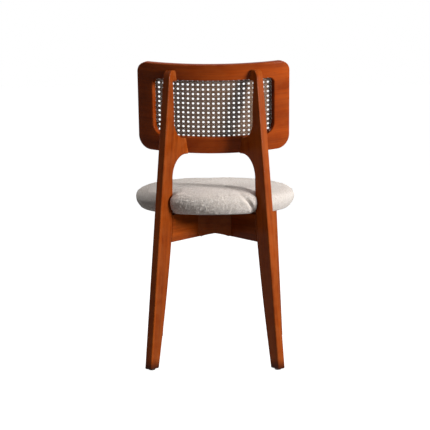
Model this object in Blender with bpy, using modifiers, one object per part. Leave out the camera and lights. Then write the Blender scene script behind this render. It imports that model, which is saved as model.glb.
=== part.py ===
"""Cane chair: board legs on a crossed under-frame, a bent back frame with a cane window, a round padded seat.

Metres, +Z up. The chair's front faces -Y and its left side, the sitter's left, is +X. Every board of the
under-frame stands in an upright plane through the chair's centre line. A place in such a plane is written
(reach, height): the distance out from the centre line, and the height above the floor."""

import math

import bmesh
import bpy
from mathutils import Matrix, Vector

# Stock and fits
board_thickness = 0.022
edge_rounding = 0.003
clearance = 0.0003
overrun = 0.004
spread_angle = math.radians(38)

# Under-frame
frame_height = 0.3965
rail_end_height = 0.0721
rail_centre_height = 0.0675
tenon_thickness = 0.010
tenon_height = 0.055
tenon_length = 0.030

# Rear leg, from its straight back edge forward
rear_leg_height = 0.7675
rear_foot_overhang_width = 0.07188
rear_lean_share = 0.1134
foot_width = 0.0320
calf_width = 0.0445
joint_width = 0.0505
seat_level_width = 0.0482
waist_width = 0.0398
slim_width = 0.0280
neck_width = 0.0170
leg_head_round = 0.015
leg_head_drop = 0.026

# Horn that reaches forward from the rear leg under the back frame
horn_height = 0.0425
under_fillet_width = 0.055
under_fillet_height = 0.062
upper_fillet_height = 0.044
head_joint_height = 0.0285

# Front leg, from its straight front edge back
front_foot_overhang_width = 0.04313
front_lean_share = 0.0715
front_foot_width = 0.0264
front_calf_width = 0.0346
front_joint_width = 0.0490
front_head_width = 0.0430

# Corner blocks in the two open corners of the crossed rails
block_face_depth = 0.0750
block_thickness = 0.030
block_drop = 0.0675
block_arch_rise = 0.0076
block_arch_flat = 0.026
block_arch_width = 0.070
block_dowel_diameter = 0.007
block_dowel_length = 0.022

# Back frame, bent round an upright axis in front of the sitter and tilted back
back_radius = 0.360
back_tilt = math.radians(12)
back_thickness = 0.018
back_head_width = 0.01759
back_crown = 0.002
back_top_corner = 0.027
back_low_corner = 0.036
back_rounding = 0.003
back_stile_width = 0.0453
window_top_corner = 0.013
window_low_corner = 0.030
back_dowel_diameter = 0.006
back_dowel_in_frame = 0.007
back_dowel_in_leg = 0.013

# Cane net, held in a groove round the window by a spline
cane_columns = 23
cane_rows = 11
cane_strand_width = 0.0064
cane_side_border = 0.0029
cane_low_border = 0.0063
cane_top_border = 0.0076
cane_thickness = 0.0015
rebate_depth = 0.0021
groove_offset = 0.007
groove_width = 0.0054
groove_depth = 0.007
spline_dome = 0.0006

# Seat
seat_centre_offset = -0.0112
seat_half_width = 0.213
seat_rear_depth = 0.214
seat_front_depth = 0.235
seat_rear_exponent = 2.1
seat_front_exponent = 2.4
cushion_height = 0.0685
cover_thickness = 0.0015
board_inset = 0.0275
seat_board_thickness = 0.012
base_cloth_thickness = 0.001
base_cloth_inset = 0.044
notch_side_gap = 0.0035
notch_front_gap = 0.0035
notch_corner = 0.006
notch_fade_share = 0.35
notch_widest_share = 0.35
cushion_roll_share = 0.15962

# Seat screws, up through the corner blocks
screw_spacing = 0.030
screw_diameter = 0.004
screw_length = 0.044
screw_head_diameter = 0.0085
screw_head_height = 0.003
screw_bite = 0.008
screw_pocket_diameter = 0.0105

# Nail-on glides
glide_diameter = 0.0165
glide_height = 0.003
glide_rounding = 0.0008
glide_nail_diameter = 0.0026
glide_nail_length = 0.014

# Places along the legs as shares of the frame height, and of the slim stretch above the horn
calf_height_share = 0.427
joint_height_share = 0.80
slim_height_share = 0.66
horn_top_share = 0.04
# The back frame as shares of the leg's height above the under-frame, and its window as shares of its own rise
back_low_share = 0.41348
back_rise_share = 0.63396
window_low_share = 0.1824
window_high_share = 0.82185
# The back's half width as a share of the seat's
back_width_share = 0.93850
# Cushion edge from the hem to the crown: shares of the roll's width inwards and of the cushion's height
cushion_profile_shares = (
    (1.25, 0.000),
    (0.72, 0.000),
    (0.40, 0.070),
    (0.13, 0.235),
    (0.00, 0.480),
    (0.10, 0.680),
    (0.41, 0.825),
    (1.00, 0.905),
    (2.10, 0.960),
    (3.80, 0.988),
)

corner_steps = 6
long_steps = 20
short_steps = 7
seat_side_steps = 16
seat_rear_steps = 5
screw_sides = 12
glide_sides = 20
dowel_sides = 12
cope_sides = 256

WOOD = (0.13, 0.032, 0.009, 1.0)
BEECH = (0.45, 0.30, 0.17, 1.0)
CANE = (0.20, 0.14, 0.10, 1.0)
CLOTH = (0.78, 0.75, 0.70, 1.0)
FOAM = (0.80, 0.72, 0.50, 1.0)
LINING = (0.02, 0.02, 0.02, 1.0)
PLY = (0.50, 0.34, 0.18, 1.0)
STEEL = (0.55, 0.55, 0.56, 1.0)
PLASTIC = (0.05, 0.035, 0.03, 1.0)

for item in list(bpy.data.objects):
    bpy.data.objects.remove(item, do_unlink=True)

parts = bpy.data.collections.new("cane_chair")
cutters = bpy.data.collections.new("cutters")
bpy.context.scene.collection.children.link(parts)
bpy.context.scene.collection.children.link(cutters)
root = bpy.data.objects.new("cane_chair_root", None)
parts.objects.link(root)


def material(name, color, roughness, metallic=0.0):
    made = bpy.data.materials.new(name)
    made.use_nodes = True
    shader = made.node_tree.nodes["Principled BSDF"]
    shader.inputs["Base Color"].default_value = color
    shader.inputs["Roughness"].default_value = roughness
    shader.inputs["Metallic"].default_value = metallic
    made.diffuse_color = color
    return made


def finish(obj, color, roughness, metallic=0.0):
    """Gives a part its own material and smooth faces, and hangs it on the chair's root."""
    obj.data.materials.clear()
    obj.data.materials.append(material(obj.name, color, roughness, metallic))
    obj.data.shade_smooth()
    obj.data.set_sharp_from_angle(angle=math.radians(35))
    obj.parent = root
    return obj


def mesh_object(name, mesh, collection, matrix=None):
    obj = bpy.data.objects.new(name, mesh)
    collection.objects.link(obj)
    if matrix is not None:
        obj.matrix_world = matrix
    return obj


def as_cutter(obj):
    obj.hide_render = True
    obj.display_type = "WIRE"
    obj.parent = root
    return obj


def cut(obj, cutter, operation="DIFFERENCE"):
    modifier = obj.modifiers.new(cutter.name, "BOOLEAN")
    modifier.operation = operation
    modifier.solver = "EXACT"
    modifier.object = cutter


def outline_mesh(name, points, thickness):
    """A flat outline in X and Y, as thick as given and centred on its plane, made from a filled 2D curve."""
    curve = bpy.data.curves.new(name, "CURVE")
    curve.dimensions = "2D"
    curve.fill_mode = "BOTH"
    curve.extrude = thickness / 2
    spline = curve.splines.new("POLY")
    spline.points.add(len(points) - 1)
    for point, place in zip(spline.points, points):
        point.co = (place[0], place[1], 0, 1)
    spline.use_cyclic_u = True
    guide = bpy.data.objects.new(name, curve)
    parts.objects.link(guide)
    graph = bpy.context.evaluated_depsgraph_get()
    mesh = bpy.data.meshes.new_from_object(guide.evaluated_get(graph))
    bpy.data.objects.remove(guide, do_unlink=True)
    bpy.data.curves.remove(curve)
    shape = bmesh.new()
    shape.from_mesh(mesh)
    bmesh.ops.remove_doubles(shape, verts=shape.verts, dist=clearance / 10)
    bmesh.ops.dissolve_limit(
        shape, angle_limit=math.radians(0.1), verts=shape.verts, edges=shape.edges
    )
    bmesh.ops.recalc_face_normals(shape, faces=shape.faces)
    shape.to_mesh(mesh)
    shape.free()
    mesh.name = name
    return mesh


def plane_matrix(side, end, height=0.0):
    """The upright board plane of a corner: side is +1 left or -1 right, and end is +1 rear or -1 front."""
    turn = math.atan2(end * math.cos(spread_angle), side * math.sin(spread_angle))
    upright = Matrix.Rotation(math.radians(90), 4, "X")
    return Matrix.Translation((0, 0, height)) @ Matrix.Rotation(turn, 4, "Z") @ upright


def board(name, points, matrix):
    obj = mesh_object(name, outline_mesh(name, points, board_thickness), parts, matrix)
    bevel = obj.modifiers.new("Rounded edges", "BEVEL")
    bevel.width = edge_rounding
    bevel.segments = 2
    bevel.limit_method = "ANGLE"
    bevel.angle_limit = math.radians(40)
    return obj


def box_cutter(name, low, high, matrix):
    """A box between two corners, given in the axes of the matrix."""
    shape = bmesh.new()
    bmesh.ops.create_cube(shape, size=1)
    low, high = Vector(low), Vector(high)
    size = high - low
    bmesh.ops.scale(shape, vec=size, verts=shape.verts)
    bmesh.ops.translate(shape, vec=(low + high) / 2, verts=shape.verts)
    mesh = bpy.data.meshes.new(name)
    shape.to_mesh(mesh)
    shape.free()
    return as_cutter(mesh_object(name, mesh, cutters, matrix))


def cylinder_mesh(name, radius, start, end, sides):
    start, end = Vector(start), Vector(end)
    along = end - start
    shape = bmesh.new()
    turn = along.to_track_quat("Z", "Y").to_matrix().to_4x4()
    bmesh.ops.create_cone(
        shape,
        cap_ends=True,
        segments=sides,
        radius1=radius,
        radius2=radius,
        depth=along.length,
        matrix=Matrix.Translation((start + end) / 2) @ turn,
    )
    mesh = bpy.data.meshes.new(name)
    shape.to_mesh(mesh)
    shape.free()
    return mesh


def round_cutter(name, radius, start, end, sides=dowel_sides):
    mesh = cylinder_mesh(name, radius, start, end, sides)
    return as_cutter(mesh_object(name, mesh, cutters))


def turned(name, profile, sides, place):
    """A turned piece: radius and height pairs from its top on the axis down to its bottom."""
    mesh = bpy.data.meshes.new(name)
    shape = bmesh.new()
    last = None
    for radius, height in profile:
        vert = shape.verts.new((radius, 0, height))
        if last:
            shape.edges.new((last, vert))
        last = vert
    shape.to_mesh(mesh)
    shape.free()
    obj = mesh_object(name, mesh, parts)
    obj.location = place
    screw = obj.modifiers.new("Turn", "SCREW")
    screw.axis = "Z"
    screw.steps = sides
    screw.render_steps = sides
    screw.use_merge_vertices = True
    screw.merge_threshold = clearance / 30
    return obj


def smooth_run(points, steps):
    """Points along a smooth curve through the given ones."""
    places = [Vector(point) for point in points]
    places = [places[0] * 2 - places[1]] + places + [places[-1] * 2 - places[-2]]
    run = []
    for i in range(1, len(places) - 2):
        before, start, end, after = places[i - 1 : i + 3]
        for step in range(steps):
            t = step / steps
            pull = (end - before) * t + (before * 2 - start * 5 + end * 4 - after) * t**2
            run.append(start + (pull + ((start - end) * 3 + after - before) * t**3) / 2)
    return run + [places[-2]]


def arc_run(centre, width, height, first, last, steps):
    """Points along a quarter of an ellipse, with its angles in degrees."""
    run = []
    for step in range(steps + 1):
        angle = math.radians(first + (last - first) * step / steps)
        run.append(Vector((centre[0] + width * math.cos(angle), centre[1] + height * math.sin(angle))))
    return run


# The seat's plain outline, and where the legs stand against it


def inside_rim(across, along):
    """Below 1 inside the seat's outline, for a place across from and along the seat's centre line."""
    power = seat_rear_exponent if along > 0 else seat_front_exponent
    depth = seat_rear_depth if along > 0 else seat_front_depth
    return abs(across / seat_half_width) ** power + abs(along / depth) ** power


def rim_reach(end):
    """The reach at which the upright plane of a rear (+1) or front (-1) board passes under the seat's rim."""
    near, far = 0.0, seat_half_width + seat_front_depth
    for _ in range(40):
        middle = (near + far) / 2
        along = end * middle * math.cos(spread_angle) - seat_centre_offset
        if inside_rim(middle * math.sin(spread_angle), along) < 1:
            near = middle
        else:
            far = middle
    return near


rear_foot_reach = rim_reach(1) + rear_foot_overhang_width
front_foot_reach = rim_reach(-1) + front_foot_overhang_width

# The back frame's bent sheet. It meets the rear legs a set width in from the back edge of their heads

upper_height = rear_leg_height - frame_height
back_low_height = frame_height + upper_height * back_low_share
back_rise = upper_height * back_rise_share
back_half_width = seat_half_width * back_width_share
window_half_width = back_half_width - back_stile_width
window_low = back_rise * window_low_share
window_high = back_rise * window_high_share
cane_pitch = 2 * (window_half_width - cane_side_border) / cane_columns
cane_row_pitch = (window_high - window_low - cane_low_border - cane_top_border) / cane_rows
head_reach = rear_foot_reach - rear_lean_share * rear_leg_height - back_head_width
head_bend = back_radius - math.sqrt(back_radius**2 - (head_reach * math.sin(spread_angle)) ** 2)
head_rise = (rear_leg_height - back_low_height - head_bend * math.sin(back_tilt)) / math.cos(back_tilt)
head_behind = head_rise * math.sin(back_tilt) - head_bend * math.cos(back_tilt)
back_low_distance = head_reach * math.cos(spread_angle) - head_behind
back_front_radius = back_radius - back_thickness
back_origin = Vector((0, back_low_distance, back_low_height))
back_up = Vector((0, math.sin(back_tilt), math.cos(back_tilt)))
back_forward = Vector((0, -math.cos(back_tilt), math.sin(back_tilt)))


def back_point(arc, rise, depth):
    """From the flat sheet to the bent one: arc across, rise up the slope, depth in from the rear face."""
    angle = arc / back_front_radius
    radius = back_radius - depth
    forward = back_radius - radius * math.cos(angle)
    return back_origin + Vector((radius * math.sin(angle), 0, 0)) + back_up * rise + back_forward * forward


def back_rear_distance(across, height):
    """How far behind the centre line the back frame's rear face lies."""
    forward = back_radius - math.sqrt(back_radius**2 - across**2)
    rise = (height - back_low_height - forward * math.sin(back_tilt)) / math.cos(back_tilt)
    return back_low_distance + rise * math.sin(back_tilt) - forward * math.cos(back_tilt)


def back_contact(height):
    """The reach at which a board's middle plane meets the back frame's rear face."""
    near, far = 0.0, rear_foot_reach
    for _ in range(40):
        middle = (near + far) / 2
        behind = middle * math.cos(spread_angle)
        if behind < back_rear_distance(middle * math.sin(spread_angle), height):
            near = middle
        else:
            far = middle
    return near


def sheet_ring(half_width, low, high, low_corner, top_corner, offset=0.0, crown=0.0):
    """A closed rounded outline on the flat sheet, grown outwards by the offset."""
    half_width += offset
    low -= offset
    high += offset
    low_corner += offset
    top_corner += offset
    right, up = half_width - low_corner, low + low_corner
    top_right, top_up = half_width - top_corner, high - top_corner
    ring = [Vector((-right + 2 * right * i / long_steps, low)) for i in range(long_steps)]
    for centre, radius, first in (
        ((right, up), low_corner, -90),
        ((top_right, top_up), top_corner, 0),
        ((-top_right, top_up), top_corner, 90),
        ((-right, up), low_corner, 180),
    ):
        arc = arc_run(centre, radius, radius, first, first + 90, corner_steps)
        ring += arc
        if first == -90:
            start, end, steps = arc[-1], Vector((half_width, top_up)), short_steps
        elif first == 0:
            start, end, steps = arc[-1], Vector((-top_right, high)), long_steps
        elif first == 90:
            start, end, steps = arc[-1], Vector((-half_width, up)), short_steps
        else:
            ring.pop()
            break
        ring += [start.lerp(end, i / steps) for i in range(1, steps)]
    middle = (low + high) / 2
    for point in ring:
        upper = max(0.0, (point.y - middle) / (high - middle))
        point.y -= crown * upper * (point.x / half_width) ** 2
    return ring


def frame_ring(offset):
    return sheet_ring(
        back_half_width, 0.0, back_rise, back_low_corner, back_top_corner, offset, back_crown
    )


def window_ring(offset):
    return sheet_ring(
        window_half_width, window_low, window_high, window_low_corner, window_top_corner, offset
    )


def ring_loft(name, loops):
    """Joins closed loops of 3D points in order, the last one back to the first, into one tube-like body."""
    shape = bmesh.new()
    rows = [[shape.verts.new(point) for point in loop] for loop in loops]
    for here, there in zip(rows, rows[1:] + rows[:1]):
        for i in range(len(here)):
            j = (i + 1) % len(here)
            shape.faces.new((here[i], here[j], there[j], there[i]))
    bmesh.ops.recalc_face_normals(shape, faces=shape.faces)
    mesh = bpy.data.meshes.new(name)
    shape.to_mesh(mesh)
    shape.free()
    return mesh_object(name, mesh, parts)


def bent(ring, depth):
    return [back_point(point.x, point.y, depth) for point in ring]


# Rear legs


def rear_edge(height):
    return rear_foot_reach - rear_lean_share * height


horn_low = back_low_height
horn_high = horn_low + horn_height
waist_height = horn_low - under_fillet_height
leg_foot_height = glide_height + clearance
head_joint_low = rear_leg_height - head_joint_height
upper_fillet_top = horn_high + upper_fillet_height
slim_height = upper_fillet_top + (head_joint_low - upper_fillet_top) * (1 - slim_height_share)

rear_inner_points = [
    (rear_edge(height) - width, height)
    for height, width in (
        (leg_foot_height, foot_width),
        (frame_height * calf_height_share, calf_width),
        (frame_height * joint_height_share, joint_width),
        (frame_height, seat_level_width),
        (waist_height, waist_width),
    )
]


def rear_leg_outline():
    inner = smooth_run(rear_inner_points, 4)
    under_centre = (inner[-1].x - under_fillet_width, waist_height)
    under = arc_run(under_centre, under_fillet_width, under_fillet_height, 0, 90, 6)
    horn_tip = back_contact(horn_low) - board_thickness
    slim_reach = rear_edge(slim_height) - slim_width
    horn_top = back_contact(horn_high)
    horn_top += (slim_reach - horn_top) * horn_top_share
    upper = arc_run((horn_top, upper_fillet_top), slim_reach - horn_top, upper_fillet_height, -90, 0, 5)
    neck = (rear_edge(head_joint_low) - neck_width, head_joint_low)
    front = smooth_run([tuple(upper[-1]), (slim_reach, slim_height), neck], 3)
    head_tip = back_contact(head_joint_low) - board_thickness
    head_start = rear_leg_height - leg_head_drop
    head_centre = (rear_edge(head_start) - leg_head_round, head_start)
    head = arc_run(head_centre, leg_head_round, leg_head_drop, 0, 90, 5)
    points = inner[:-1] + under + [(horn_tip, horn_low), (horn_tip, horn_high)]
    points += upper + front[1:] + [(head_tip, head_joint_low), (head_tip, rear_leg_height)]
    return points + head[::-1] + [(rear_edge(leg_foot_height), leg_foot_height)]


cope_start = back_origin + back_forward * back_radius - back_up * (horn_height / 2)
cope_end = back_origin + back_forward * back_radius + back_up * (back_rise + horn_height)
cope = round_cutter("cope", back_radius + clearance, cope_start, cope_end, cope_sides)

tenon_low = frame_height - rail_end_height + (rail_end_height - tenon_height) / 2
tenon_high = tenon_low + tenon_height
tenon_middle = (tenon_low + tenon_high) / 2


def edge_reach(points, height):
    """The reach of a smooth edge at a height between its points."""
    run = smooth_run(points, 12)
    for below, above in zip(run, run[1:]):
        if below.y <= height <= above.y:
            return below.x + (above.x - below.x) * (height - below.y) / (above.y - below.y)
    return run[-1].x


def mortise(name, reach, matrix):
    half = tenon_thickness / 2 + clearance
    low = (reach - joint_width / 3, tenon_low - clearance, -half)
    high = (reach + tenon_length + clearance, tenon_high + clearance, half)
    return box_cutter(name, low, high, matrix)


rear_shoulder = edge_reach(rear_inner_points, tenon_middle)

rear_legs = {}
for side, word in ((1, "left"), (-1, "right")):
    matrix = plane_matrix(side, 1)
    leg = board("rear_leg_" + word, rear_leg_outline(), matrix)
    cut(leg, cope)
    cut(leg, mortise("rear_mortise_" + word, rear_shoulder, matrix))
    rear_legs[word] = finish(leg, WOOD, 0.38)

# Front legs


def front_edge(height):
    return front_foot_reach - front_lean_share * height


front_inner_points = [
    (front_edge(height) - width, height)
    for height, width in (
        (leg_foot_height, front_foot_width),
        (frame_height * calf_height_share, front_calf_width),
        (frame_height * joint_height_share, front_joint_width),
        (frame_height, front_head_width),
    )
]
front_shoulder = edge_reach(front_inner_points, tenon_middle)

front_legs = {}
for side, word in ((1, "left"), (-1, "right")):
    matrix = plane_matrix(side, -1)
    points = smooth_run(front_inner_points, 4)
    points += [(front_edge(frame_height), frame_height), (front_edge(leg_foot_height), leg_foot_height)]
    leg = board("front_leg_" + word, points, matrix)
    cut(leg, mortise("front_mortise_" + word, front_shoulder, matrix))
    front_legs[word] = finish(leg, WOOD, 0.38)

# Crossed rails, each from a rear leg to the front leg across from it

rail_low = frame_height - rail_end_height
rail_centre_low = frame_height - rail_centre_height
halving_height = (rail_centre_low + frame_height) / 2
shoulder_steps = 3


def shoulder(points, sign, going_up):
    run = []
    for step in range(shoulder_steps + 1):
        height = rail_low + (frame_height - rail_low) * step / shoulder_steps
        run.append(Vector((sign * (edge_reach(points, height) - clearance), height)))
    return run if going_up else run[::-1]


def rail_outline():
    rear = shoulder(rear_inner_points, 1, True)
    front = shoulder(front_inner_points, -1, False)
    underside = smooth_run([tuple(front[-1]), (0, rail_centre_low), tuple(rear[0])], 4)
    return underside[1:-1] + rear + front


rails = {}
for side, name in ((1, "cross_rail_upper"), (-1, "cross_rail_lower")):
    matrix = plane_matrix(side, 1)
    rail = board(name, rail_outline(), matrix)
    for sign, reach, end in ((1, rear_shoulder, "rear"), (-1, front_shoulder, "front")):
        ends = sorted((sign * (reach - joint_width / 2), sign * (reach + tenon_length)))
        low = (ends[0], tenon_low, -tenon_thickness / 2)
        high = (ends[1], tenon_high, tenon_thickness / 2)
        cut(rail, box_cutter(f"{name}_{end}_tenon", low, high, matrix), "UNION")
    half = board_thickness / 2 + clearance
    if side == 1:
        heights = (rail_low - overrun, halving_height + clearance / 2)
    else:
        heights = (halving_height - clearance / 2, frame_height + overrun)
    low = (-2 * board_thickness, heights[0], -half)
    high = (2 * board_thickness, heights[1], half)
    cut(rail, box_cutter(name + "_halving", low, high, plane_matrix(-side, 1)))
    rails[side] = finish(rail, WOOD, 0.38)

# Corner blocks, their dowels and the seat screws

face_gap = (board_thickness / 2 + clearance) / math.cos(spread_angle)
block_low = frame_height - block_drop
block_height_middle = (block_low + block_arch_rise + frame_height) / 2
block_near_distance = block_face_depth - block_thickness
block_middle_distance = (block_face_depth + block_near_distance) / 2
arch_slopes = (block_arch_width - block_arch_flat) / 2
seat_low = frame_height + clearance
board_low = seat_low + cover_thickness + clearance
board_high = board_low + seat_board_thickness
screw_tip = board_low + screw_bite
screw_seat = screw_tip - screw_length
screw_hole_radius = screw_diameter / 2 + clearance


def block_half_width(distance):
    return distance * math.tan(spread_angle) - face_gap


base_holes = []
board_holes = []
number = 0
for end, word in ((1, "rear"), (-1, "front")):
    name = word + "_corner_block"
    wide, narrow = block_half_width(block_face_depth), block_half_width(block_near_distance)
    plan = [
        (-wide, end * block_face_depth),
        (wide, end * block_face_depth),
        (narrow, end * block_near_distance),
        (-narrow, end * block_near_distance),
    ]
    middle = Matrix.Translation((0, 0, (block_low + frame_height) / 2))
    block = mesh_object(name, outline_mesh(name, plan, frame_height - block_low), parts, middle)
    arch = [
        (-block_arch_width / 2, block_low),
        (-block_arch_flat / 2, block_low + block_arch_rise),
        (block_arch_flat / 2, block_low + block_arch_rise),
        (block_arch_width / 2, block_low),
        (block_arch_width / 2, block_low - overrun),
        (-block_arch_width / 2, block_low - overrun),
    ]
    across = Matrix.Translation((0, end * block_middle_distance, 0)) @ Matrix.Rotation(
        math.radians(90), 4, "X"
    )
    arch_mesh = outline_mesh(name + "_arch", arch, block_thickness + 2 * overrun)
    cut(block, as_cutter(mesh_object(name + "_arch", arch_mesh, cutters, across)))
    bevel = block.modifiers.new("Eased edges", "BEVEL")
    bevel.width = edge_rounding / 3
    bevel.segments = 1
    bevel.limit_method = "ANGLE"
    bevel.angle_limit = math.radians(40)
    for side, hand in ((1, "left"), (-1, "right")):
        along = Vector((side * math.sin(spread_angle), end * math.cos(spread_angle), 0))
        out = Vector((-side * math.cos(spread_angle), end * math.sin(spread_angle), 0))
        reach = (block_middle_distance - face_gap * math.sin(spread_angle)) / math.cos(spread_angle)
        centre = along * reach + out * (board_thickness / 2)
        centre.z = block_height_middle
        half = out * (block_dowel_length / 2)
        pin = f"block_dowel_{word}_{hand}"
        mesh = cylinder_mesh(pin, block_dowel_diameter / 2, centre - half, centre + half, dowel_sides)
        finish(mesh_object(pin, mesh, parts), BEECH, 0.6)
        more = out * clearance
        hole = round_cutter(
            pin + "_hole", block_dowel_diameter / 2 + clearance, centre - half - more, centre + half + more
        )
        cut(block, hole)
        cut(rails[side * end], hole)
        number += 1
        spot = Vector((side * screw_spacing / 2, end * block_middle_distance, 0))
        tip = spot + Vector((0, 0, screw_tip + clearance))
        shaft = round_cutter(
            f"screw_hole_{number}", screw_hole_radius, spot + Vector((0, 0, block_low - overrun)), tip
        )
        pocket = round_cutter(
            f"screw_pocket_{number}",
            screw_pocket_diameter / 2,
            spot + Vector((0, 0, block_low - overrun)),
            spot + Vector((0, 0, screw_seat)),
        )
        cut(block, shaft)
        cut(block, pocket)
        base_holes.append(shaft)
        board_holes.append(shaft)
        shank = screw_diameter / 2
        cap = screw_head_diameter / 2
        under_head = -clearance
        profile = (
            (0, screw_length),
            (shank / 3, screw_length),
            (shank, screw_length - shank),
            (shank, under_head),
            (cap, under_head),
            (cap, -screw_head_height * 0.5),
            (cap * 0.6, -screw_head_height),
            (0, -screw_head_height),
        )
        screw = turned(f"seat_screw_{number}", profile, screw_sides, (spot.x, spot.y, screw_seat))
        finish(screw, STEEL, 0.35, 1.0)
    finish(block, WOOD, 0.42)

# Back frame

ease = back_rounding * (1 - math.sqrt(0.5))
land_depth = back_thickness - rebate_depth
groove_floor = back_thickness - groove_depth
frame_loops = [
    bent(frame_ring(0.0), back_rounding),
    bent(frame_ring(-ease), ease),
    bent(frame_ring(-back_rounding), 0.0),
    bent(window_ring(back_rounding), 0.0),
    bent(window_ring(ease), ease),
    bent(window_ring(0.0), back_rounding),
    bent(window_ring(0.0), land_depth),
    bent(window_ring(groove_offset), land_depth),
    bent(window_ring(groove_offset), groove_floor),
    bent(window_ring(groove_offset + groove_width), groove_floor),
    bent(window_ring(groove_offset + groove_width), back_thickness),
    bent(frame_ring(-back_rounding), back_thickness),
    bent(frame_ring(-ease), back_thickness - ease),
    bent(frame_ring(0.0), back_thickness - back_rounding),
]
back_frame = finish(ring_loft("backrest_frame", frame_loops), WOOD, 0.38)

# Dowels between the rear legs and the back frame

head_dowel_height = (head_joint_low + rear_leg_height) / 2
horn_dowel_height = (horn_low + horn_high) / 2
for level, height in (("top", head_dowel_height), ("low", horn_dowel_height)):
    for side, hand in ((1, "left"), (-1, "right")):
        reach = back_contact(height)
        along = Vector((side * math.sin(spread_angle), math.cos(spread_angle), 0))
        start = along * (reach - back_dowel_in_frame)
        stop = along * (reach + back_dowel_in_leg)
        start.z = stop.z = height
        name = f"back_dowel_{level}_{hand}"
        mesh = cylinder_mesh(name, back_dowel_diameter / 2, start, stop, dowel_sides)
        finish(mesh_object(name, mesh, parts), BEECH, 0.6)
        more = along * clearance
        hole = round_cutter(
            name + "_hole", back_dowel_diameter / 2 + clearance, start - more, stop + more
        )
        cut(back_frame, hole)
        cut(rear_legs[hand], hole)

# Cane net and its spline


cane_half_width = cane_columns * cane_pitch / 2
cane_half_height = cane_rows * cane_row_pitch / 2
cane_level = window_low + cane_low_border + cane_half_height
cane_depth = land_depth + clearance
net = bmesh.new()
bmesh.ops.create_grid(
    net,
    x_segments=cane_columns,
    y_segments=cane_rows,
    size=1,
    matrix=Matrix.Diagonal((cane_half_width, cane_half_height, 1, 1)),
)
bmesh.ops.translate(net, vec=(0, cane_level, cane_depth), verts=net.verts)
inner = bmesh.ops.inset_individual(
    net, faces=net.faces[:], thickness=cane_strand_width / 2, use_even_offset=True
)
rim = [edge for edge in net.edges if edge.is_boundary]
strands = set(inner["faces"])
holes = [face for face in net.faces if face not in strands]
bmesh.ops.delete(net, geom=holes, context="FACES_ONLY")
fold_offset = groove_offset + clearance
lip_depth = groove_floor + clearance
fold = [net.verts.new((point.x, point.y, cane_depth)) for point in window_ring(fold_offset)]
fold_edges = [net.edges.new((fold[i - 1], fold[i])) for i in range(len(fold))]
bmesh.ops.triangle_fill(net, use_beauty=True, edges=rim + fold_edges)
lip = bmesh.ops.extrude_edge_only(net, edges=fold_edges)["geom"]
for vert in [item for item in lip if isinstance(item, bmesh.types.BMVert)]:
    vert.co.z = lip_depth
for vert in net.verts:
    vert.co = back_point(vert.co.x, vert.co.y, vert.co.z)
bmesh.ops.recalc_face_normals(net, faces=net.faces)
net.normal_update()
middle_face = min(net.faces, key=lambda face: face.calc_center_median().x ** 2)
if middle_face.normal.dot(back_forward) < 0:
    bmesh.ops.reverse_faces(net, faces=net.faces)
cane_mesh = bpy.data.meshes.new("cane_panel")
net.to_mesh(cane_mesh)
net.free()
cane = mesh_object("cane_panel", cane_mesh, parts)
solid = cane.modifiers.new("Strand thickness", "SOLIDIFY")
solid.thickness = cane_thickness
solid.offset = 1
finish(cane, CANE, 0.6)

spline_near = fold_offset + cane_thickness + clearance
spline_far = groove_offset + groove_width - clearance
spline_top = back_thickness - clearance
spline_loops = [
    bent(window_ring(spline_near), lip_depth),
    bent(window_ring(spline_far), lip_depth),
    bent(window_ring(spline_far), spline_top),
    bent(window_ring((spline_near + spline_far) / 2), spline_top + spline_dome),
    bent(window_ring(spline_near), spline_top),
]
finish(ring_loft("cane_spline", spline_loops), WOOD, 0.45)

# Seat

seat_small_half = min(seat_half_width, seat_rear_depth)
cushion_roll = seat_small_half * cushion_roll_share
notch_half_width = board_thickness / 2 + notch_side_gap
seat_cut_reach = edge_reach(rear_inner_points, frame_height + cushion_height / 2) - notch_front_gap
leg_along = Vector((math.sin(spread_angle), math.cos(spread_angle)))
leg_across = Vector((math.cos(spread_angle), -math.sin(spread_angle)))
leg_turn = math.radians(90) - spread_angle


def rim_point(angle, inset):
    """A place on the seat's plain outline, in the direction of the angle about the seat's centre."""
    rear = math.sin(angle) > 0
    power = seat_rear_exponent if rear else seat_front_exponent
    depth = (seat_rear_depth if rear else seat_front_depth) - inset
    width = seat_half_width - inset
    term = abs(math.cos(angle) / width) ** power + abs(math.sin(angle) / depth) ** power
    reach = term ** (-1 / power)
    return Vector((reach * math.cos(angle), seat_centre_offset + reach * math.sin(angle)))


def rim_angle(aside, inset):
    """The angle at which the outline passes a given distance aside of the left rear leg's plane."""
    inner_angle, outer_angle = leg_turn + math.radians(50), leg_turn - math.radians(50)
    for _ in range(40):
        middle = (inner_angle + outer_angle) / 2
        if rim_point(middle, inset).dot(leg_across) < aside:
            inner_angle = middle
        else:
            outer_angle = middle
    return inner_angle


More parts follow.
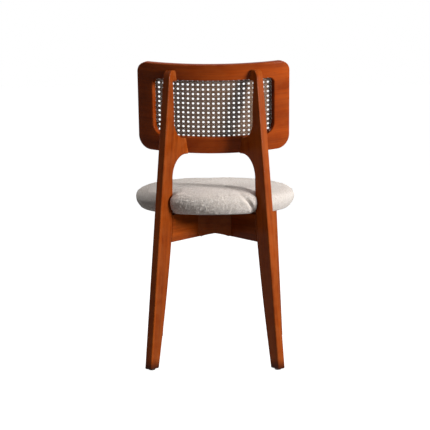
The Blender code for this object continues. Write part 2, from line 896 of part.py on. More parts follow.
def seat_ring(inset, behind=0.0):
    """The seat's outline drawn in by the inset, with a notch round each rear leg that fades inwards.

    A piece under the cover keeps that much further behind the notch's floor."""
    half = min(notch_half_width + inset, notch_widest_share * (seat_small_half - inset))
    mouth = half + notch_corner
    floor = seat_cut_reach - notch_fade_share * inset - behind
    start, stop = rim_angle(-mouth, inset), rim_angle(mouth, inset)
    rear_run = []
    for step in range(seat_rear_steps + 1):
        turn = math.radians(90) + (start - math.radians(90)) * step / seat_rear_steps
        rear_run.append(rim_point(turn, inset))
    slot = []
    for aside, drop, on_floor in (
        (-half - notch_corner * 0.3, notch_corner * 0.3, False),
        (-half, notch_corner, False),
        (-half * 0.95, 0.0, True),
        (half * 0.95, 0.0, True),
        (half, notch_corner, False),
        (half + notch_corner * 0.3, notch_corner * 0.3, False),
    ):
        edge = rim_point(rim_angle(aside, inset), inset)
        reach = edge.dot(leg_along)
        wanted = min(floor, reach) if on_floor else max(min(floor, reach), reach - drop)
        slot.append(leg_along * wanted + leg_across * aside)
    side_run = []
    for step in range(seat_side_steps + 1):
        turn = stop + (math.radians(-90) - stop) * step / seat_side_steps
        side_run.append(rim_point(turn, inset))
    half_ring = rear_run + slot + side_run
    other = [Vector((-point.x, point.y)) for point in half_ring[1:-1]]
    return half_ring + other[::-1]


cover_profile = [
    (cushion_roll * inward, cushion_height * upward) for inward, upward in cushion_profile_shares
]


def crown_point(height):
    return Vector((0, seat_centre_offset, seat_low + height))


def seat_rows(shape, profile, behind=0.0):
    rows = []
    for inset, height in profile:
        ring = seat_ring(inset, behind)
        rows.append([shape.verts.new((*point, seat_low + height)) for point in ring])
    for here, there in zip(rows, rows[1:]):
        for i in range(len(here)):
            j = (i + 1) % len(here)
            shape.faces.new((here[i], here[j], there[j], there[i]))
    return rows


def close_crown(shape, row, height):
    top = shape.verts.new(crown_point(height))
    for i in range(len(row)):
        shape.faces.new((row[i], row[(i + 1) % len(row)], top))


def seat_form(name, shape, collection=parts):
    bmesh.ops.recalc_face_normals(shape, faces=shape.faces)
    shape.normal_update()
    top = max(shape.faces, key=lambda face: face.calc_center_median().z)
    if top.normal.z < 0:
        bmesh.ops.reverse_faces(shape, faces=shape.faces)
    mesh = bpy.data.meshes.new(name)
    shape.to_mesh(mesh)
    shape.free()
    return mesh_object(name, mesh, collection)


sheet = bmesh.new()
cover_rows = seat_rows(sheet, cover_profile)
close_crown(sheet, cover_rows[-1], cushion_height)
cover = seat_form("seat_cover", sheet)
solid = cover.modifiers.new("Cloth thickness", "SOLIDIFY")
solid.thickness = cover_thickness
solid.offset = -1
finish(cover, CLOTH, 0.9)


def drawn_in(profile, distance):
    """The profile moved to its inner side by the distance."""
    moved = []
    for i, (inset, height) in enumerate(profile):
        before = Vector(profile[max(0, i - 1)])
        after = Vector(profile[min(len(profile) - 1, i + 1)])
        along = (after - before).normalized()
        moved.append((inset + along.y * distance, height - along.x * distance))
    return moved


foam_bottom = board_high + clearance - seat_low
cover_room = cover_thickness + 3 * clearance
foam_profile = drawn_in(cover_profile, cover_room)
under = max(i for i, point in enumerate(foam_profile) if point[1] < foam_bottom)
low_point, high_point = foam_profile[under], foam_profile[under + 1]
share = (foam_bottom - low_point[1]) / (high_point[1] - low_point[1])
foam_start = low_point[0] + (high_point[0] - low_point[0]) * share
foam_profile = [(foam_start, foam_bottom)] + foam_profile[under + 1 :]
block_form = bmesh.new()
foam_rows = seat_rows(block_form, foam_profile, cover_room)
close_crown(block_form, foam_rows[-1], cushion_height - cover_room)
block_form.faces.new(foam_rows[0])
finish(seat_form("seat_foam", block_form), FOAM, 0.95)

board_matrix = Matrix.Translation((0, 0, (board_low + board_high) / 2))
board_mesh = outline_mesh("seat_board", seat_ring(board_inset, cover_room), seat_board_thickness)
seat_board = mesh_object("seat_board", board_mesh, parts, board_matrix)
for hole in board_holes:
    cut(seat_board, hole)
finish(seat_board, PLY, 0.7)

cloth_matrix = Matrix.Translation((0, 0, seat_low + base_cloth_thickness / 2))
cloth_outline = seat_ring(base_cloth_inset, cover_room)
cloth_mesh = outline_mesh("base_cloth", cloth_outline, base_cloth_thickness)
base_cloth = mesh_object("base_cloth", cloth_mesh, parts, cloth_matrix)
for hole in base_holes:
    cut(base_cloth, hole)
finish(base_cloth, LINING, 0.95)

# Glides

foot_rear_reach = rear_edge(leg_foot_height) - foot_width / 2
foot_front_reach = front_edge(leg_foot_height) - front_foot_width / 2
for end, word, reach in ((1, "rear", foot_rear_reach), (-1, "front", foot_front_reach)):
    for side, hand in ((1, "left"), (-1, "right")):
        name = f"glide_{word}_{hand}"
        spot = (
            side * reach * math.sin(spread_angle),
            end * reach * math.cos(spread_angle),
            0,
        )
        nail = glide_nail_diameter / 2
        disc = glide_diameter / 2
        nail_top = glide_height + glide_nail_length
        profile = (
            (0, nail_top),
            (nail / 3, nail_top),
            (nail, nail_top - 2 * nail),
            (nail, glide_height),
            (disc, glide_height),
            (disc, glide_rounding),
            (disc - glide_rounding, 0),
            (0, 0),
        )
        finish(turned(name, profile, glide_sides, spot), PLASTIC, 0.5)
        leg = (rear_legs if end == 1 else front_legs)[hand]
        foot = Vector(spot)
        hole = round_cutter(
            name + "_hole",
            nail + clearance,
            foot + Vector((0, 0, leg_foot_height - overrun)),
            foot + Vector((0, 0, nail_top + clearance)),
        )
        cut(leg, hole)

# The chair stands with the middle of its outer box over the origin

bpy.context.view_layer.update()
graph = bpy.context.evaluated_depsgraph_get()
reaches = []
for item in parts.objects:
    if item.type == "MESH":
        seen = item.evaluated_get(graph)
        reaches += [(seen.matrix_world @ vert.co).y for vert in seen.data.vertices]
root.location.y = -(min(reaches) + max(reaches)) / 2
bpy.context.view_layer.update()
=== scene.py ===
"""Cane chair, dressed: satin stained boards, a woven cane window in a bent frame, a looped-cloth seat.

Metres, +Z up, the chair faces -Y and the photograph looks at its back. A place on an upright board is
written (reach, height): its distance from the chair's centre line and its height above the floor."""

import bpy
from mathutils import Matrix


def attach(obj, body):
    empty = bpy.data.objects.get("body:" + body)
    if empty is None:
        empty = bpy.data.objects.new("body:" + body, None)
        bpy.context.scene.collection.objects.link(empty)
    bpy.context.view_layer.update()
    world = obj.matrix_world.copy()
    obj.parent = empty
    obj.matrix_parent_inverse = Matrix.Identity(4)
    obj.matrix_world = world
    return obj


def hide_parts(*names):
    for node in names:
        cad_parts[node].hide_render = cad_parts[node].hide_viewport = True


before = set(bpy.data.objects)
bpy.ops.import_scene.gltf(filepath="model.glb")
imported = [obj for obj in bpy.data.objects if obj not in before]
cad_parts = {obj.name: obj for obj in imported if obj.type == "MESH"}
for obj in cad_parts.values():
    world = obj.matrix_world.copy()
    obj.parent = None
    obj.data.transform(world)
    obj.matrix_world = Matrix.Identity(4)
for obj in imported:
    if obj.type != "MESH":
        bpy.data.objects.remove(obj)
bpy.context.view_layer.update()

import math

import bmesh
import bpy
from mathutils import Matrix, Vector, noise

# Sizes, as the solids have them
board_thickness = 0.022
edge_rounding = 0.003
clearance = 0.0003
spread_angle = math.radians(38)
frame_height = 0.3965
rail_end_height = 0.0721
rail_centre_height = 0.0675
rear_leg_height = 0.7675
rear_lean_share = 0.1134
rear_foot_reach = 0.2799
rear_widths = ((0.0033, 0.0320), (0.1693, 0.0445), (0.3172, 0.0505), (0.3965, 0.0482), (0.4879, 0.0398))
slim_width = 0.0280
neck_width = 0.0170
leg_head_round = 0.015
leg_head_drop = 0.026
horn_height = 0.0425
horn_top_reach = 0.13817
under_fillet_width = 0.055
under_fillet_height = 0.062
upper_fillet_height = 0.044
head_joint_height = 0.0285
slim_height = 0.67128
front_foot_reach = 0.2904
front_lean_share = 0.0715
front_widths = ((0.0033, 0.0264), (0.1693, 0.0346), (0.3172, 0.0490), (0.3965, 0.0430))
block_face_depth = 0.0750
block_thickness = 0.030
block_drop = 0.0675
block_arch_rise = 0.0076
block_arch_flat = 0.026
block_arch_width = 0.070
back_radius = 0.360
back_tilt = math.radians(12)
back_thickness = 0.018
back_low_height = 0.5499
back_low_distance = 0.1088
back_half_width = 0.1999
back_rise = 0.2352
back_crown = 0.002
back_top_corner = 0.027
back_low_corner = 0.036
back_rounding = 0.003
window_half_width = 0.1546
window_low = 0.0429
window_high = 0.1933
window_top_corner = 0.013
window_low_corner = 0.030
cane_columns = 23
cane_rows = 11
cane_pitch = 0.01319
cane_row_pitch = 0.01241
cane_low_border = 0.0063
rebate_depth = 0.0021
groove_offset = 0.007
groove_width = 0.0054
groove_depth = 0.007
lip_thickness = 0.0015
seat_centre_offset = -0.0112
seat_half_width = 0.213
seat_rear_depth = 0.214
seat_front_depth = 0.235
seat_rear_exponent = 2.1
seat_front_exponent = 2.4
cushion_height = 0.0685
cushion_roll = 0.034
base_cloth_inset = 0.044
notch_gap = 0.0035
notch_corner = 0.006
notch_fade_share = 0.35
notch_widest_share = 0.35
screw_spacing = 0.030
screw_pocket_diameter = 0.0105
screw_seat_height = 0.3626
cushion_profile_shares = (
    (1.25, 0.000),
    (0.72, 0.000),
    (0.40, 0.070),
    (0.13, 0.235),
    (0.00, 0.480),
    (0.10, 0.680),
    (0.41, 0.825),
    (1.00, 0.905),
    (2.10, 0.960),
    (3.80, 0.988),
)

horn_high = back_low_height + horn_height
head_joint_low = rear_leg_height - head_joint_height
rail_low = frame_height - rail_end_height
seat_low = frame_height + clearance
depth_shift = 0.01033
to_chair = Matrix.Translation((0, depth_shift, 0))

quarter_turn = math.radians(90)
upright = Matrix.Rotation(quarter_turn, 4, "X")


# Shader groups


def fill(tree, socket, value):
    """Gives a socket a value, or joins another socket to it."""
    if isinstance(value, bpy.types.NodeSocket):
        tree.links.new(value, socket)
    else:
        socket.default_value = value


def node_group(name, inputs, outputs):
    """An empty shader group. Inputs are (name, kind, default) and outputs are (name, kind)."""
    group = bpy.data.node_groups.new(name, "ShaderNodeTree")
    for label, kind, default in inputs:
        socket = group.interface.new_socket(label, in_out="INPUT", socket_type="NodeSocket" + kind)
        if default is not None:
            socket.default_value = default
    for label, kind in outputs:
        group.interface.new_socket(label, in_out="OUTPUT", socket_type="NodeSocket" + kind)
    start = group.nodes.new("NodeGroupInput")
    end = group.nodes.new("NodeGroupOutput")
    return group, start.outputs, end.inputs


def put(tree, kind, settings=None, **sockets):
    """Adds a node. A socket is named with underscores for spaces, or by its number after at_."""
    node = tree.nodes.new("ShaderNode" + kind)
    for key, value in (settings or {}).items():
        setattr(node, key, value)
    for label, value in sockets.items():
        wanted = int(label[3:]) if label.startswith("at_") else label.replace("_", " ")
        fill(tree, node.inputs[wanted], value)
    return node


def maths(tree, operation, first, second, third=None):
    node = put(tree, "Math", {"operation": operation}, at_0=first, at_1=second)
    if third is not None:
        fill(tree, node.inputs[2], third)
    return node.outputs[0]


def spread(tree, value, low, high, new_low=0.0, new_high=1.0):
    """Maps a value smoothly from one range to another and stops at its ends."""
    ranges = {"From_Min": low, "From_Max": high, "To_Min": new_low, "To_Max": new_high}
    node = put(tree, "MapRange", {"interpolation_type": "SMOOTHSTEP"}, Value=value, **ranges)
    return node.outputs["Result"]


def stretched(tree, place, scale, shift=(0, 0, 0)):
    return put(tree, "Mapping", Vector=place, Scale=scale, Location=shift).outputs["Vector"]


def sized(tree, place, size):
    """The place, measured in units of a feature's size."""
    share = maths(tree, "DIVIDE", 1.0, size)
    return put(tree, "VectorMath", {"operation": "SCALE"}, Vector=place, Scale=share).outputs[0]


def noisy(tree, place, detail, scale=1.0, roughness=0.5):
    node = put(tree, "TexNoise", Vector=place, Scale=scale, Detail=detail, Roughness=roughness)
    return node.outputs["Fac"]


def patchy(group, given, detail):
    """Soft patches of the size that the group is given."""
    return noisy(group, given["Place"], detail, maths(group, "DIVIDE", 1.0, given["Patch Size"]))


def blended(tree, factor, first, second):
    """Mixes two colours. A colour Mix takes its factor at 0 and its colours at 6 and 7, and gives 2."""
    return put(tree, "Mix", {"data_type": "RGBA"}, at_0=factor, at_6=first, at_7=second).outputs[2]


def make_timber_group():
    """Straight-grained timber, its grain along X: slow figure, fibre streaks and short open pores."""
    group, given, out = node_group(
        "timber",
        (
            ("Place", "Vector", None),
            ("Light Tone", "Color", None),
            ("Dark Tone", "Color", None),
            ("Pore Tone", "Color", None),
            ("Fibre Width", "Float", 0.004),
            ("Pores", "Float", 0.5),
            ("Smoothness", "Float", 0.34),
        ),
        (("Color", "Color"), ("Roughness", "Float"), ("Height", "Float")),
    )
    scaled = sized(group, given["Place"], given["Fibre Width"])
    bend = noisy(group, stretched(group, given["Place"], (3.0, 9.0, 9.0)), 1.0)
    aside, through = maths(group, "MULTIPLY", bend, 2.6), maths(group, "MULTIPLY", bend, 1.9)
    push = put(group, "CombineXYZ", Y=aside, Z=through).outputs[0]
    waved = put(group, "VectorMath", {"operation": "ADD"}, at_0=scaled, at_1=push).outputs[0]
    figure = noisy(group, stretched(group, waved, (0.012, 0.16, 0.16)), 3.0, 1.0, 0.55)
    fibre = noisy(group, stretched(group, waved, (0.03, 1.0, 1.0), (7, 3, 1)), 3.0, 1.0, 0.6)
    hair = noisy(group, stretched(group, waved, (0.16, 4.2, 4.2), (2, 9, 5)), 2.0, 1.0, 0.6)
    pore = maths(group, "MULTIPLY", spread(group, hair, 0.60, 0.74), given["Pores"])
    tone = maths(group, "MULTIPLY", spread(group, figure, 0.3, 0.72), 0.62)
    tone = maths(group, "MULTIPLY_ADD", spread(group, fibre, 0.25, 0.75), 0.38, tone)
    plain = blended(group, tone, given["Light Tone"], given["Dark Tone"])
    group.links.new(blended(group, pore, plain, given["Pore Tone"]), out["Color"])
    dull = maths(group, "MULTIPLY_ADD", fibre, 0.12, given["Smoothness"])
    group.links.new(maths(group, "MULTIPLY_ADD", pore, 0.2, dull), out["Roughness"])
    relief = maths(group, "MULTIPLY_ADD", pore, -0.6, maths(group, "MULTIPLY", fibre, 0.35))
    group.links.new(relief, out["Height"])
    return group


def make_edge_group():
    """Where hands and feet have thinned the stain, and a painted highlight on the arrises: a broken
    mask along the outer edges.
    """
    group, given, out = node_group(
        "handled_and_highlit_edges",
        (("Place", "Vector", None), ("Reach", "Float", 0.06), ("Patch Size", "Float", 0.03)),
        (("Mask", "Float"),),
    )
    flat_point, edge_point = 0.5, 0.505
    point = put(group, "NewGeometry").outputs["Pointiness"]
    high = maths(group, "ADD", given["Reach"], flat_point)
    edge = put(group, "MapRange", Value=point, From_Min=edge_point, From_Max=high).outputs["Result"]
    patch = spread(group, patchy(group, given, 3.0), 0.32, 0.62)
    group.links.new(maths(group, "MULTIPLY", edge, patch), out["Mask"])
    return group


def make_dust_group():
    """A slow unevenness of tone and gloss, as of use and light dust."""
    group, given, out = node_group(
        "use_and_dust",
        (("Place", "Vector", None), ("Patch Size", "Float", 0.06), ("Depth", "Float", 0.3)),
        (("Mask", "Float"),),
    )
    patch = spread(group, patchy(group, given, 4.0), 0.35, 0.7)
    group.links.new(maths(group, "MULTIPLY", patch, given["Depth"]), out["Mask"])
    return group


def make_loop_group():
    """Looped cloth: small round loops of yarn, with painted shade in the gaps between them."""
    group, given, out = node_group(
        "looped_cloth",
        (
            ("Place", "Vector", None),
            ("Yarn Tone", "Color", None),
            ("Gap Tone", "Color", None),
            ("Loop Size", "Float", 0.0075),
        ),
        (("Color", "Color"), ("Height", "Float")),
    )
    scaled = sized(group, given["Place"], given["Loop Size"])
    wander = put(group, "TexNoise", Vector=scaled, Scale=0.9, Detail=2.0).outputs["Color"]
    moved = {"at_0": wander, "at_1": (0.9, 0.9, 0.9), "at_2": scaled}
    place = put(group, "VectorMath", {"operation": "MULTIPLY_ADD"}, **moved).outputs[0]
    loop = put(group, "TexVoronoi", {"feature": "SMOOTH_F1"}, Vector=place, Smoothness=0.35)
    curl = noisy(group, place, 3.0, 2.6, 0.62)
    round_top = spread(group, loop.outputs["Distance"], 0.75, 0.12)
    height = maths(group, "MULTIPLY_ADD", curl, 0.55, round_top)
    clump = noisy(group, stretched(group, given["Place"], (38, 38, 38)), 3.0)
    # Painted shade: the colour darkens towards the gap tone where the loops sink into their gaps.
    shade = spread(group, height, 0.25, 1.15)
    shade = maths(group, "MULTIPLY", shade, spread(group, clump, 0.2, 0.65, 0.84, 1.0))
    group.links.new(blended(group, shade, given["Gap Tone"], given["Yarn Tone"]), out["Color"])
    group.links.new(height, out["Height"])
    return group


timber = make_timber_group()
handled_and_highlit_edges = make_edge_group()
use_and_dust = make_dust_group()
looped_cloth = make_loop_group()


# Materials


def use_group(tree, group, **values):
    node = tree.nodes.new("ShaderNodeGroup")
    node.node_tree = group
    for label, value in values.items():
        fill(tree, node.inputs[label.replace("_", " ")], value)
    return node.outputs


def new_material(name, **constants):
    made = bpy.data.materials.new(name)
    made.use_nodes = True
    tree = made.node_tree
    surface = tree.nodes["Principled BSDF"].inputs
    for label, value in constants.items():
        surface[label.replace("_", " ")].default_value = value
    return made, tree, surface


def own_place(tree):
    """The place on the piece itself."""
    return put(tree, "TexCoord").outputs["Object"]


def plank_place(tree):
    """The place in the plank or strand, as the mesh carries it."""
    return put(tree, "Attribute", {"attribute_name": "grain"}).outputs["Vector"]


def cover(tree, surface, color, roughness, height, depth):
    """Joins the surface to its colour, its roughness and a bump as deep as given."""
    normal = put(tree, "Bump", Height=height, Distance=depth).outputs["Normal"]
    for label, output in (("Base Color", color), ("Roughness", roughness), ("Normal", normal)):
        tree.links.new(output, surface[label])


def stained_wood(name, light, dark, pores, worn_and_highlit_tone, foot_darkening=0.0):
    """Stain under satin lacquer. The colour darkens towards the foot of a board whose own Y is its
    height.
    """
    wear_and_highlight_share, dust_depth, foot_dark_low, foot_dark_high = 0.4, 0.16, 0.003, 0.034
    made, tree, surface = new_material(
        name, Coat_Weight=0.06, Coat_Roughness=0.18, Specular_IOR_Level=0.02
    )
    place = plank_place(tree)
    grain = use_group(tree, timber, Place=place, Light_Tone=light, Dark_Tone=dark, Pore_Tone=pores)
    # Lighter along the rounded edges: partly stain worn thin there, partly a painted highlight on the
    # arrises.
    wear_and_highlight = use_group(tree, handled_and_highlit_edges, Place=place)["Mask"]
    dust = use_group(tree, use_and_dust, Place=place, Depth=dust_depth)["Mask"]
    color = blended(tree, maths(tree, "MULTIPLY", wear_and_highlight, wear_and_highlight_share), grain["Color"], worn_and_highlit_tone)
    color = blended(tree, dust, color, dark)
    # Darker towards the foot of the board.
    if foot_darkening:
        height = put(tree, "SeparateXYZ", Vector=own_place(tree)).outputs["Y"]
        color = blended(tree, spread(tree, height, foot_dark_low, foot_dark_high, foot_darkening, 0.0), color, pores)
    roughness = maths(tree, "MULTIPLY_ADD", dust, 0.4, grain["Roughness"])
    cover(tree, surface, color, roughness, grain["Height"], 0.00012)
    return made


def raw_wood(name, light, dark, pores, fibre):
    made, tree, surface = new_material(name, Specular_IOR_Level=0.3)
    grain = use_group(
        tree,
        timber,
        Place=own_place(tree),
        Light_Tone=light,
        Dark_Tone=dark,
        Pore_Tone=pores,
        Fibre_Width=fibre,
        Smoothness=0.6,
    )
    cover(tree, surface, grain["Color"], grain["Roughness"], grain["Height"], 0.0001)
    return made


def cane_strand_material():
    """Split cane: a dull skin with fine lengthwise fibres, and a tone of its own for each strand."""
    made, tree, surface = new_material("split_cane", Specular_IOR_Level=0.18)
    place = plank_place(tree)
    grain = use_group(
        tree,
        timber,
        Place=place,
        Light_Tone=(0.215, 0.118, 0.066, 1),
        Dark_Tone=(0.045, 0.020, 0.011, 1),
        Pore_Tone=(0.045, 0.026, 0.016, 1),
        Fibre_Width=0.0009,
        Pores=0.45,
        Smoothness=0.42,
    )
    dust = use_group(tree, use_and_dust, Place=place, Patch_Size=0.02, Depth=0.35)["Mask"]
    color = blended(tree, dust, grain["Color"], (0.06, 0.038, 0.026, 1))
    cover(tree, surface, color, grain["Roughness"], grain["Height"], 0.00008)
    return made


def cloth_material():
    """Off-white cloth of small loops, with the soft sheen of its loose fibres."""
    made, tree, surface = new_material(
        "off_white_loops", Specular_IOR_Level=0.15, Sheen_Weight=0.35, Sheen_Roughness=0.5
    )
    place = own_place(tree)
    # The gap tone is painted shade between the loops.
    yarn, gap = (0.98, 0.91, 0.85, 1), (0.62, 0.53, 0.46, 1)
    loops = use_group(tree, looped_cloth, Place=place, Yarn_Tone=yarn, Gap_Tone=gap)
    dust = use_group(tree, use_and_dust, Place=place, Depth=0.2)["Mask"]
    color = blended(tree, dust, loops["Color"], (0.66, 0.60, 0.54, 1))
    roughness = maths(tree, "MULTIPLY_ADD", loops["Height"], -0.08, 0.98)
    cover(tree, surface, color, roughness, loops["Height"], 0.0020)
    return made


def lining_material():
    """Thin bonded lining: dull black fibres pressed flat, with a fine dimpled grid."""
    made, tree, surface = new_material("bonded_lining", Specular_IOR_Level=0.2)
    place = own_place(tree)
    dimple = put(tree, "TexVoronoi", Vector=place, Scale=520.0, Randomness=0.1).outputs["Distance"]
    fibre = noisy(tree, place, 5.0, 900.0, 0.7)
    height = maths(tree, "MULTIPLY_ADD", fibre, 0.4, dimple)
    dust = use_group(tree, use_and_dust, Place=place, Patch_Size=0.05, Depth=0.5)["Mask"]
    dark, light = (0.010, 0.010, 0.011, 1), (0.030, 0.029, 0.028, 1)
    color = blended(tree, spread(tree, fibre, 0.3, 0.7), dark, light)
    color = blended(tree, dust, color, (0.055, 0.050, 0.045, 1))
    cover(tree, surface, color, maths(tree, "MULTIPLY_ADD", fibre, 0.2, 0.75), height, 0.0003)
    return made


def steel_material():
    """Plated steel, finely scratched along its Z and dulled in patches."""
    made, tree, surface = new_material("plated_steel", Metallic=1.0)
    place = own_place(tree)
    scratch = noisy(tree, stretched(tree, place, (700, 700, 60)), 3.0)
    dust = use_group(tree, use_and_dust, Place=place, Patch_Size=0.006, Depth=0.5)["Mask"]
    color = blended(tree, scratch, (0.46, 0.45, 0.43, 1), (0.66, 0.65, 0.62, 1))
    color = blended(tree, dust, color, (0.30, 0.26, 0.21, 1))
    cover(tree, surface, color, maths(tree, "MULTIPLY_ADD", scratch, 0.22, 0.25), scratch, 0.00004)
    return made


def glide_material():
    """Dark moulded glides, scuffed by the floor."""
    made, tree, surface = new_material("moulded_glide", Specular_IOR_Level=0.4)
    place = own_place(tree)
    grit = noisy(tree, place, 4.0, 800.0)
    scuff = use_group(tree, use_and_dust, Place=place, Patch_Size=0.004, Depth=0.7)["Mask"]
    color = blended(tree, scuff, (0.045, 0.032, 0.026, 1), (0.12, 0.10, 0.085, 1))
    cover(tree, surface, color, maths(tree, "MULTIPLY_ADD", grit, 0.25, 0.38), grit, 0.00006)
    return made


leg_wood = stained_wood(
    "stained_leg_boards",
    (0.30, 0.054, 0.004, 1),
    (0.115, 0.0155, 0.001, 1),
    (0.040, 0.006, 0.001, 1),
    (0.40, 0.11, 0.025, 1),
    foot_darkening=0.95,
)
rail_wood = stained_wood(
    "stained_rails",
    (0.28, 0.050, 0.004, 1),
    (0.10, 0.014, 0.001, 1),
    (0.036, 0.005, 0.001, 1),
    (0.36, 0.10, 0.022, 1),
)
back_wood = stained_wood(
    "stained_bent_frame",
    (0.285, 0.044, 0.003, 1),
    (0.12, 0.0145, 0.0008, 1),
    (0.045, 0.006, 0.001, 1),
    (0.40, 0.10, 0.020, 1),
)
split_cane = cane_strand_material()
off_white_loops = cloth_material()
bonded_lining = lining_material()
plated_steel = steel_material()
moulded_glide = glide_material()
beech_pin = raw_wood(
    "beech_pins", (0.52, 0.35, 0.2, 1), (0.4, 0.26, 0.14, 1), (0.25, 0.15, 0.08, 1), 0.002
)
birch_ply = raw_wood(
    "birch_board", (0.58, 0.41, 0.23, 1), (0.45, 0.3, 0.16, 1), (0.3, 0.19, 0.1, 1), 0.005
)


# Making pieces

sharp_degrees = 40
cut_margin = 0.01
halvings = 40


def placed(name, data):
    """A new object in the scene."""
    obj = bpy.data.objects.new(name, data)
    bpy.context.scene.collection.objects.link(obj)
    return obj


def discard(obj):
    bpy.data.objects.remove(obj, do_unlink=True)


def soften(mesh, degrees):
    """Smooth, but for edges sharper than the degrees."""
    mesh.shade_smooth()
    mesh.set_sharp_from_angle(angle=math.radians(degrees))


def new_piece(name, mesh, made, slot_name, *nodes, smooth_degrees=sharp_degrees):
    """Puts a mesh in the scene as a dressed piece that stands for the CAD nodes named."""
    obj = placed(name, mesh)
    mesh.materials.clear()
    mesh.materials.append(made)
    soften(mesh, smooth_degrees)
    if nodes:
        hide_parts(*nodes)
    return obj


def join_piece(obj):
    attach(obj, "root")
    return obj


def settled(obj):
    """The object's mesh with all its modifiers applied; the object itself is removed."""
    graph = bpy.context.evaluated_depsgraph_get()
    mesh = bpy.data.meshes.new_from_object(obj.evaluated_get(graph))
    old = obj.data
    discard(obj)
    bpy.data.meshes.remove(old)
    return mesh


def finished_mesh(name, shape):
    mesh = bpy.data.meshes.new(name)
    shape.to_mesh(mesh)
    shape.free()
    return mesh


def closed_mesh(name, shape):
    """The finished mesh of a closed shape, its faces turned outwards."""
    bmesh.ops.recalc_face_normals(shape, faces=shape.faces)
    return finished_mesh(name, shape)


def join_rows(shape, rows):
    """Faces between each row of points and the next, all of them closed rings."""
    for here, there in zip(rows, rows[1:]):
        for i in range(len(here)):
            j = (i + 1) % len(here)
            shape.faces.new((here[i], here[j], there[j], there[i]))


def close_rod(shape, rows):
    """A rod through rows of points, with a face at each end."""
    join_rows(shape, rows)
    shape.faces.new(rows[0][::-1])
    shape.faces.new(rows[-1])


def close_to_tip(shape, row, tip):
    for i in range(len(row)):
        shape.faces.new((row[i], row[(i + 1) % len(row)], tip))


def slab(name, outline, thickness, matrix):
    """A flat outline made solid, half its thickness each side of its plane."""
    shape = bmesh.new()
    low = [shape.verts.new((point[0], point[1], -thickness / 2)) for point in outline]
    high = [shape.verts.new((point[0], point[1], thickness / 2)) for point in outline]
    shape.faces.new(low[::-1])
    shape.faces.new(high)
    join_rows(shape, (low, high))
    obj = placed(name, closed_mesh(name, shape))
    obj.matrix_world = matrix
    return obj


def round_edges(obj, width, segments=4):
    bevel = obj.modifiers.new("Rounded edges", "BEVEL")
    bevel.width = width
    bevel.segments = segments
    bevel.limit_method = "ANGLE"
    bevel.angle_limit = math.radians(sharp_degrees)
    bevel.use_clamp_overlap = False


def cut(obj, cutter):
    modifier = obj.modifiers.new(cutter.name, "BOOLEAN")
    modifier.operation = "DIFFERENCE"
    modifier.solver = "EXACT"
    modifier.object = cutter


def rod_shape(name, radius, start, end, sides):
    shape = bmesh.new()
    along = end - start
    turn = along.to_track_quat("Z", "Y").to_matrix().to_4x4()
    bmesh.ops.create_cone(
        shape,
        cap_ends=True,
        segments=sides,
        radius1=radius,
        radius2=radius,
        depth=along.length,
        matrix=Matrix.Translation((start + end) / 2) @ turn,
    )
    return placed(name, finished_mesh(name, shape))


def even_normals(mesh):
    """Keeps the broad faces of a board flat to the eye beside its rounded edges."""
    obj = placed("normals", mesh)
    soften(mesh, sharp_degrees)
    weighted = obj.modifiers.new("Face weights", "WEIGHTED_NORMAL")
    weighted.keep_sharp = True
    weighted.weight = 100
    return settled(obj)


def mark_grain(mesh, along, across, shift):
    """Writes where each point lies in its own plank: along the grain, across it and through it."""
    along, across = Vector(along).normalized(), Vector(across).normalized()
    through = along.cross(across)
    places = mesh.attributes.new("grain", "FLOAT_VECTOR", "POINT")
    for vert, place in zip(mesh.vertices, places.data):
        spot = Vector((vert.co.dot(along), vert.co.dot(across), vert.co.dot(through)))
        place.vector = spot + Vector(shift)


def finish_board(blank, matrix, made, name, node, along, across, shift):
    """Turns a blank, cut and rounded, into its dressed board; the shift gives it a grain of its own."""
    mesh = even_normals(settled(blank))
    mark_grain(mesh, along, across, shift)
    obj = new_piece(name, mesh, made, "stained_wood", node)
    obj.matrix_world = matrix
    join_piece(obj)


def smooth_run(points, steps):
    """Points along a smooth curve through the given ones."""
    places = [Vector(point) for point in points]
    places = [places[0] * 2 - places[1]] + places + [places[-1] * 2 - places[-2]]
    run = []
    for i in range(1, len(places) - 2):
        before, start, end, after = places[i - 1 : i + 3]
        for step in range(steps):
            t = step / steps
            pull = (end - before) * t + (before * 2 - start * 5 + end * 4 - after) * t**2
            run.append(start + (pull + ((start - end) * 3 + after - before) * t**3) / 2)
    return run + [places[-2]]


def arc_run(centre, width, height, first, last, steps):
    """Points along an arc of an ellipse, from the first to the last angle in degrees."""
    run = []
    for step in range(steps + 1):
        angle = math.radians(first + (last - first) * step / steps)
        run.append(Vector((centre[0] + width * math.cos(angle), centre[1] + height * math.sin(angle))))
    return run


def crossing_place(low, high, is_low):
    """Halves the stretch between two places until it closes on where is_low stops being true."""
    for _ in range(halvings):
        middle = (low + high) / 2
        if is_low(middle):
            low = middle
        else:
            high = middle
    return low


def plane_matrix(side, end):
    """The upright plane of a corner: side is +1 left or -1 right, and end is +1 rear or -1 front."""
    turn = math.atan2(end * math.cos(spread_angle), side * math.sin(spread_angle))
    return to_chair @ Matrix.Rotation(turn, 4, "Z") @ upright


# The back frame's bent sheet

back_front_radius = back_radius - back_thickness
back_origin = Vector((0, back_low_distance + depth_shift, back_low_height))
back_up = Vector((0, math.sin(back_tilt), math.cos(back_tilt)))
back_forward = Vector((0, -math.cos(back_tilt), math.sin(back_tilt)))
back_smooth_degrees = 50
corner_steps = 16
short_side_steps = 20
long_side_steps = 64
rounding_steps = 4
rebate_chamfer = 0.0006
groove_chamfer = 0.0005
spline_depth = 0.004
spline_crown_drop = 0.0006
spline_crown = 0.0011
spline_crown_steps = 8


def back_point(arc, rise, depth):
    """From the flat sheet to the bent one: arc across, rise up the slope, depth from the rear face."""
    angle = arc / back_front_radius
    radius = back_radius - depth
    forward = back_radius - radius * math.cos(angle)
    across = Vector((radius * math.sin(angle), 0, 0))
    return back_origin + across + back_up * rise + back_forward * forward


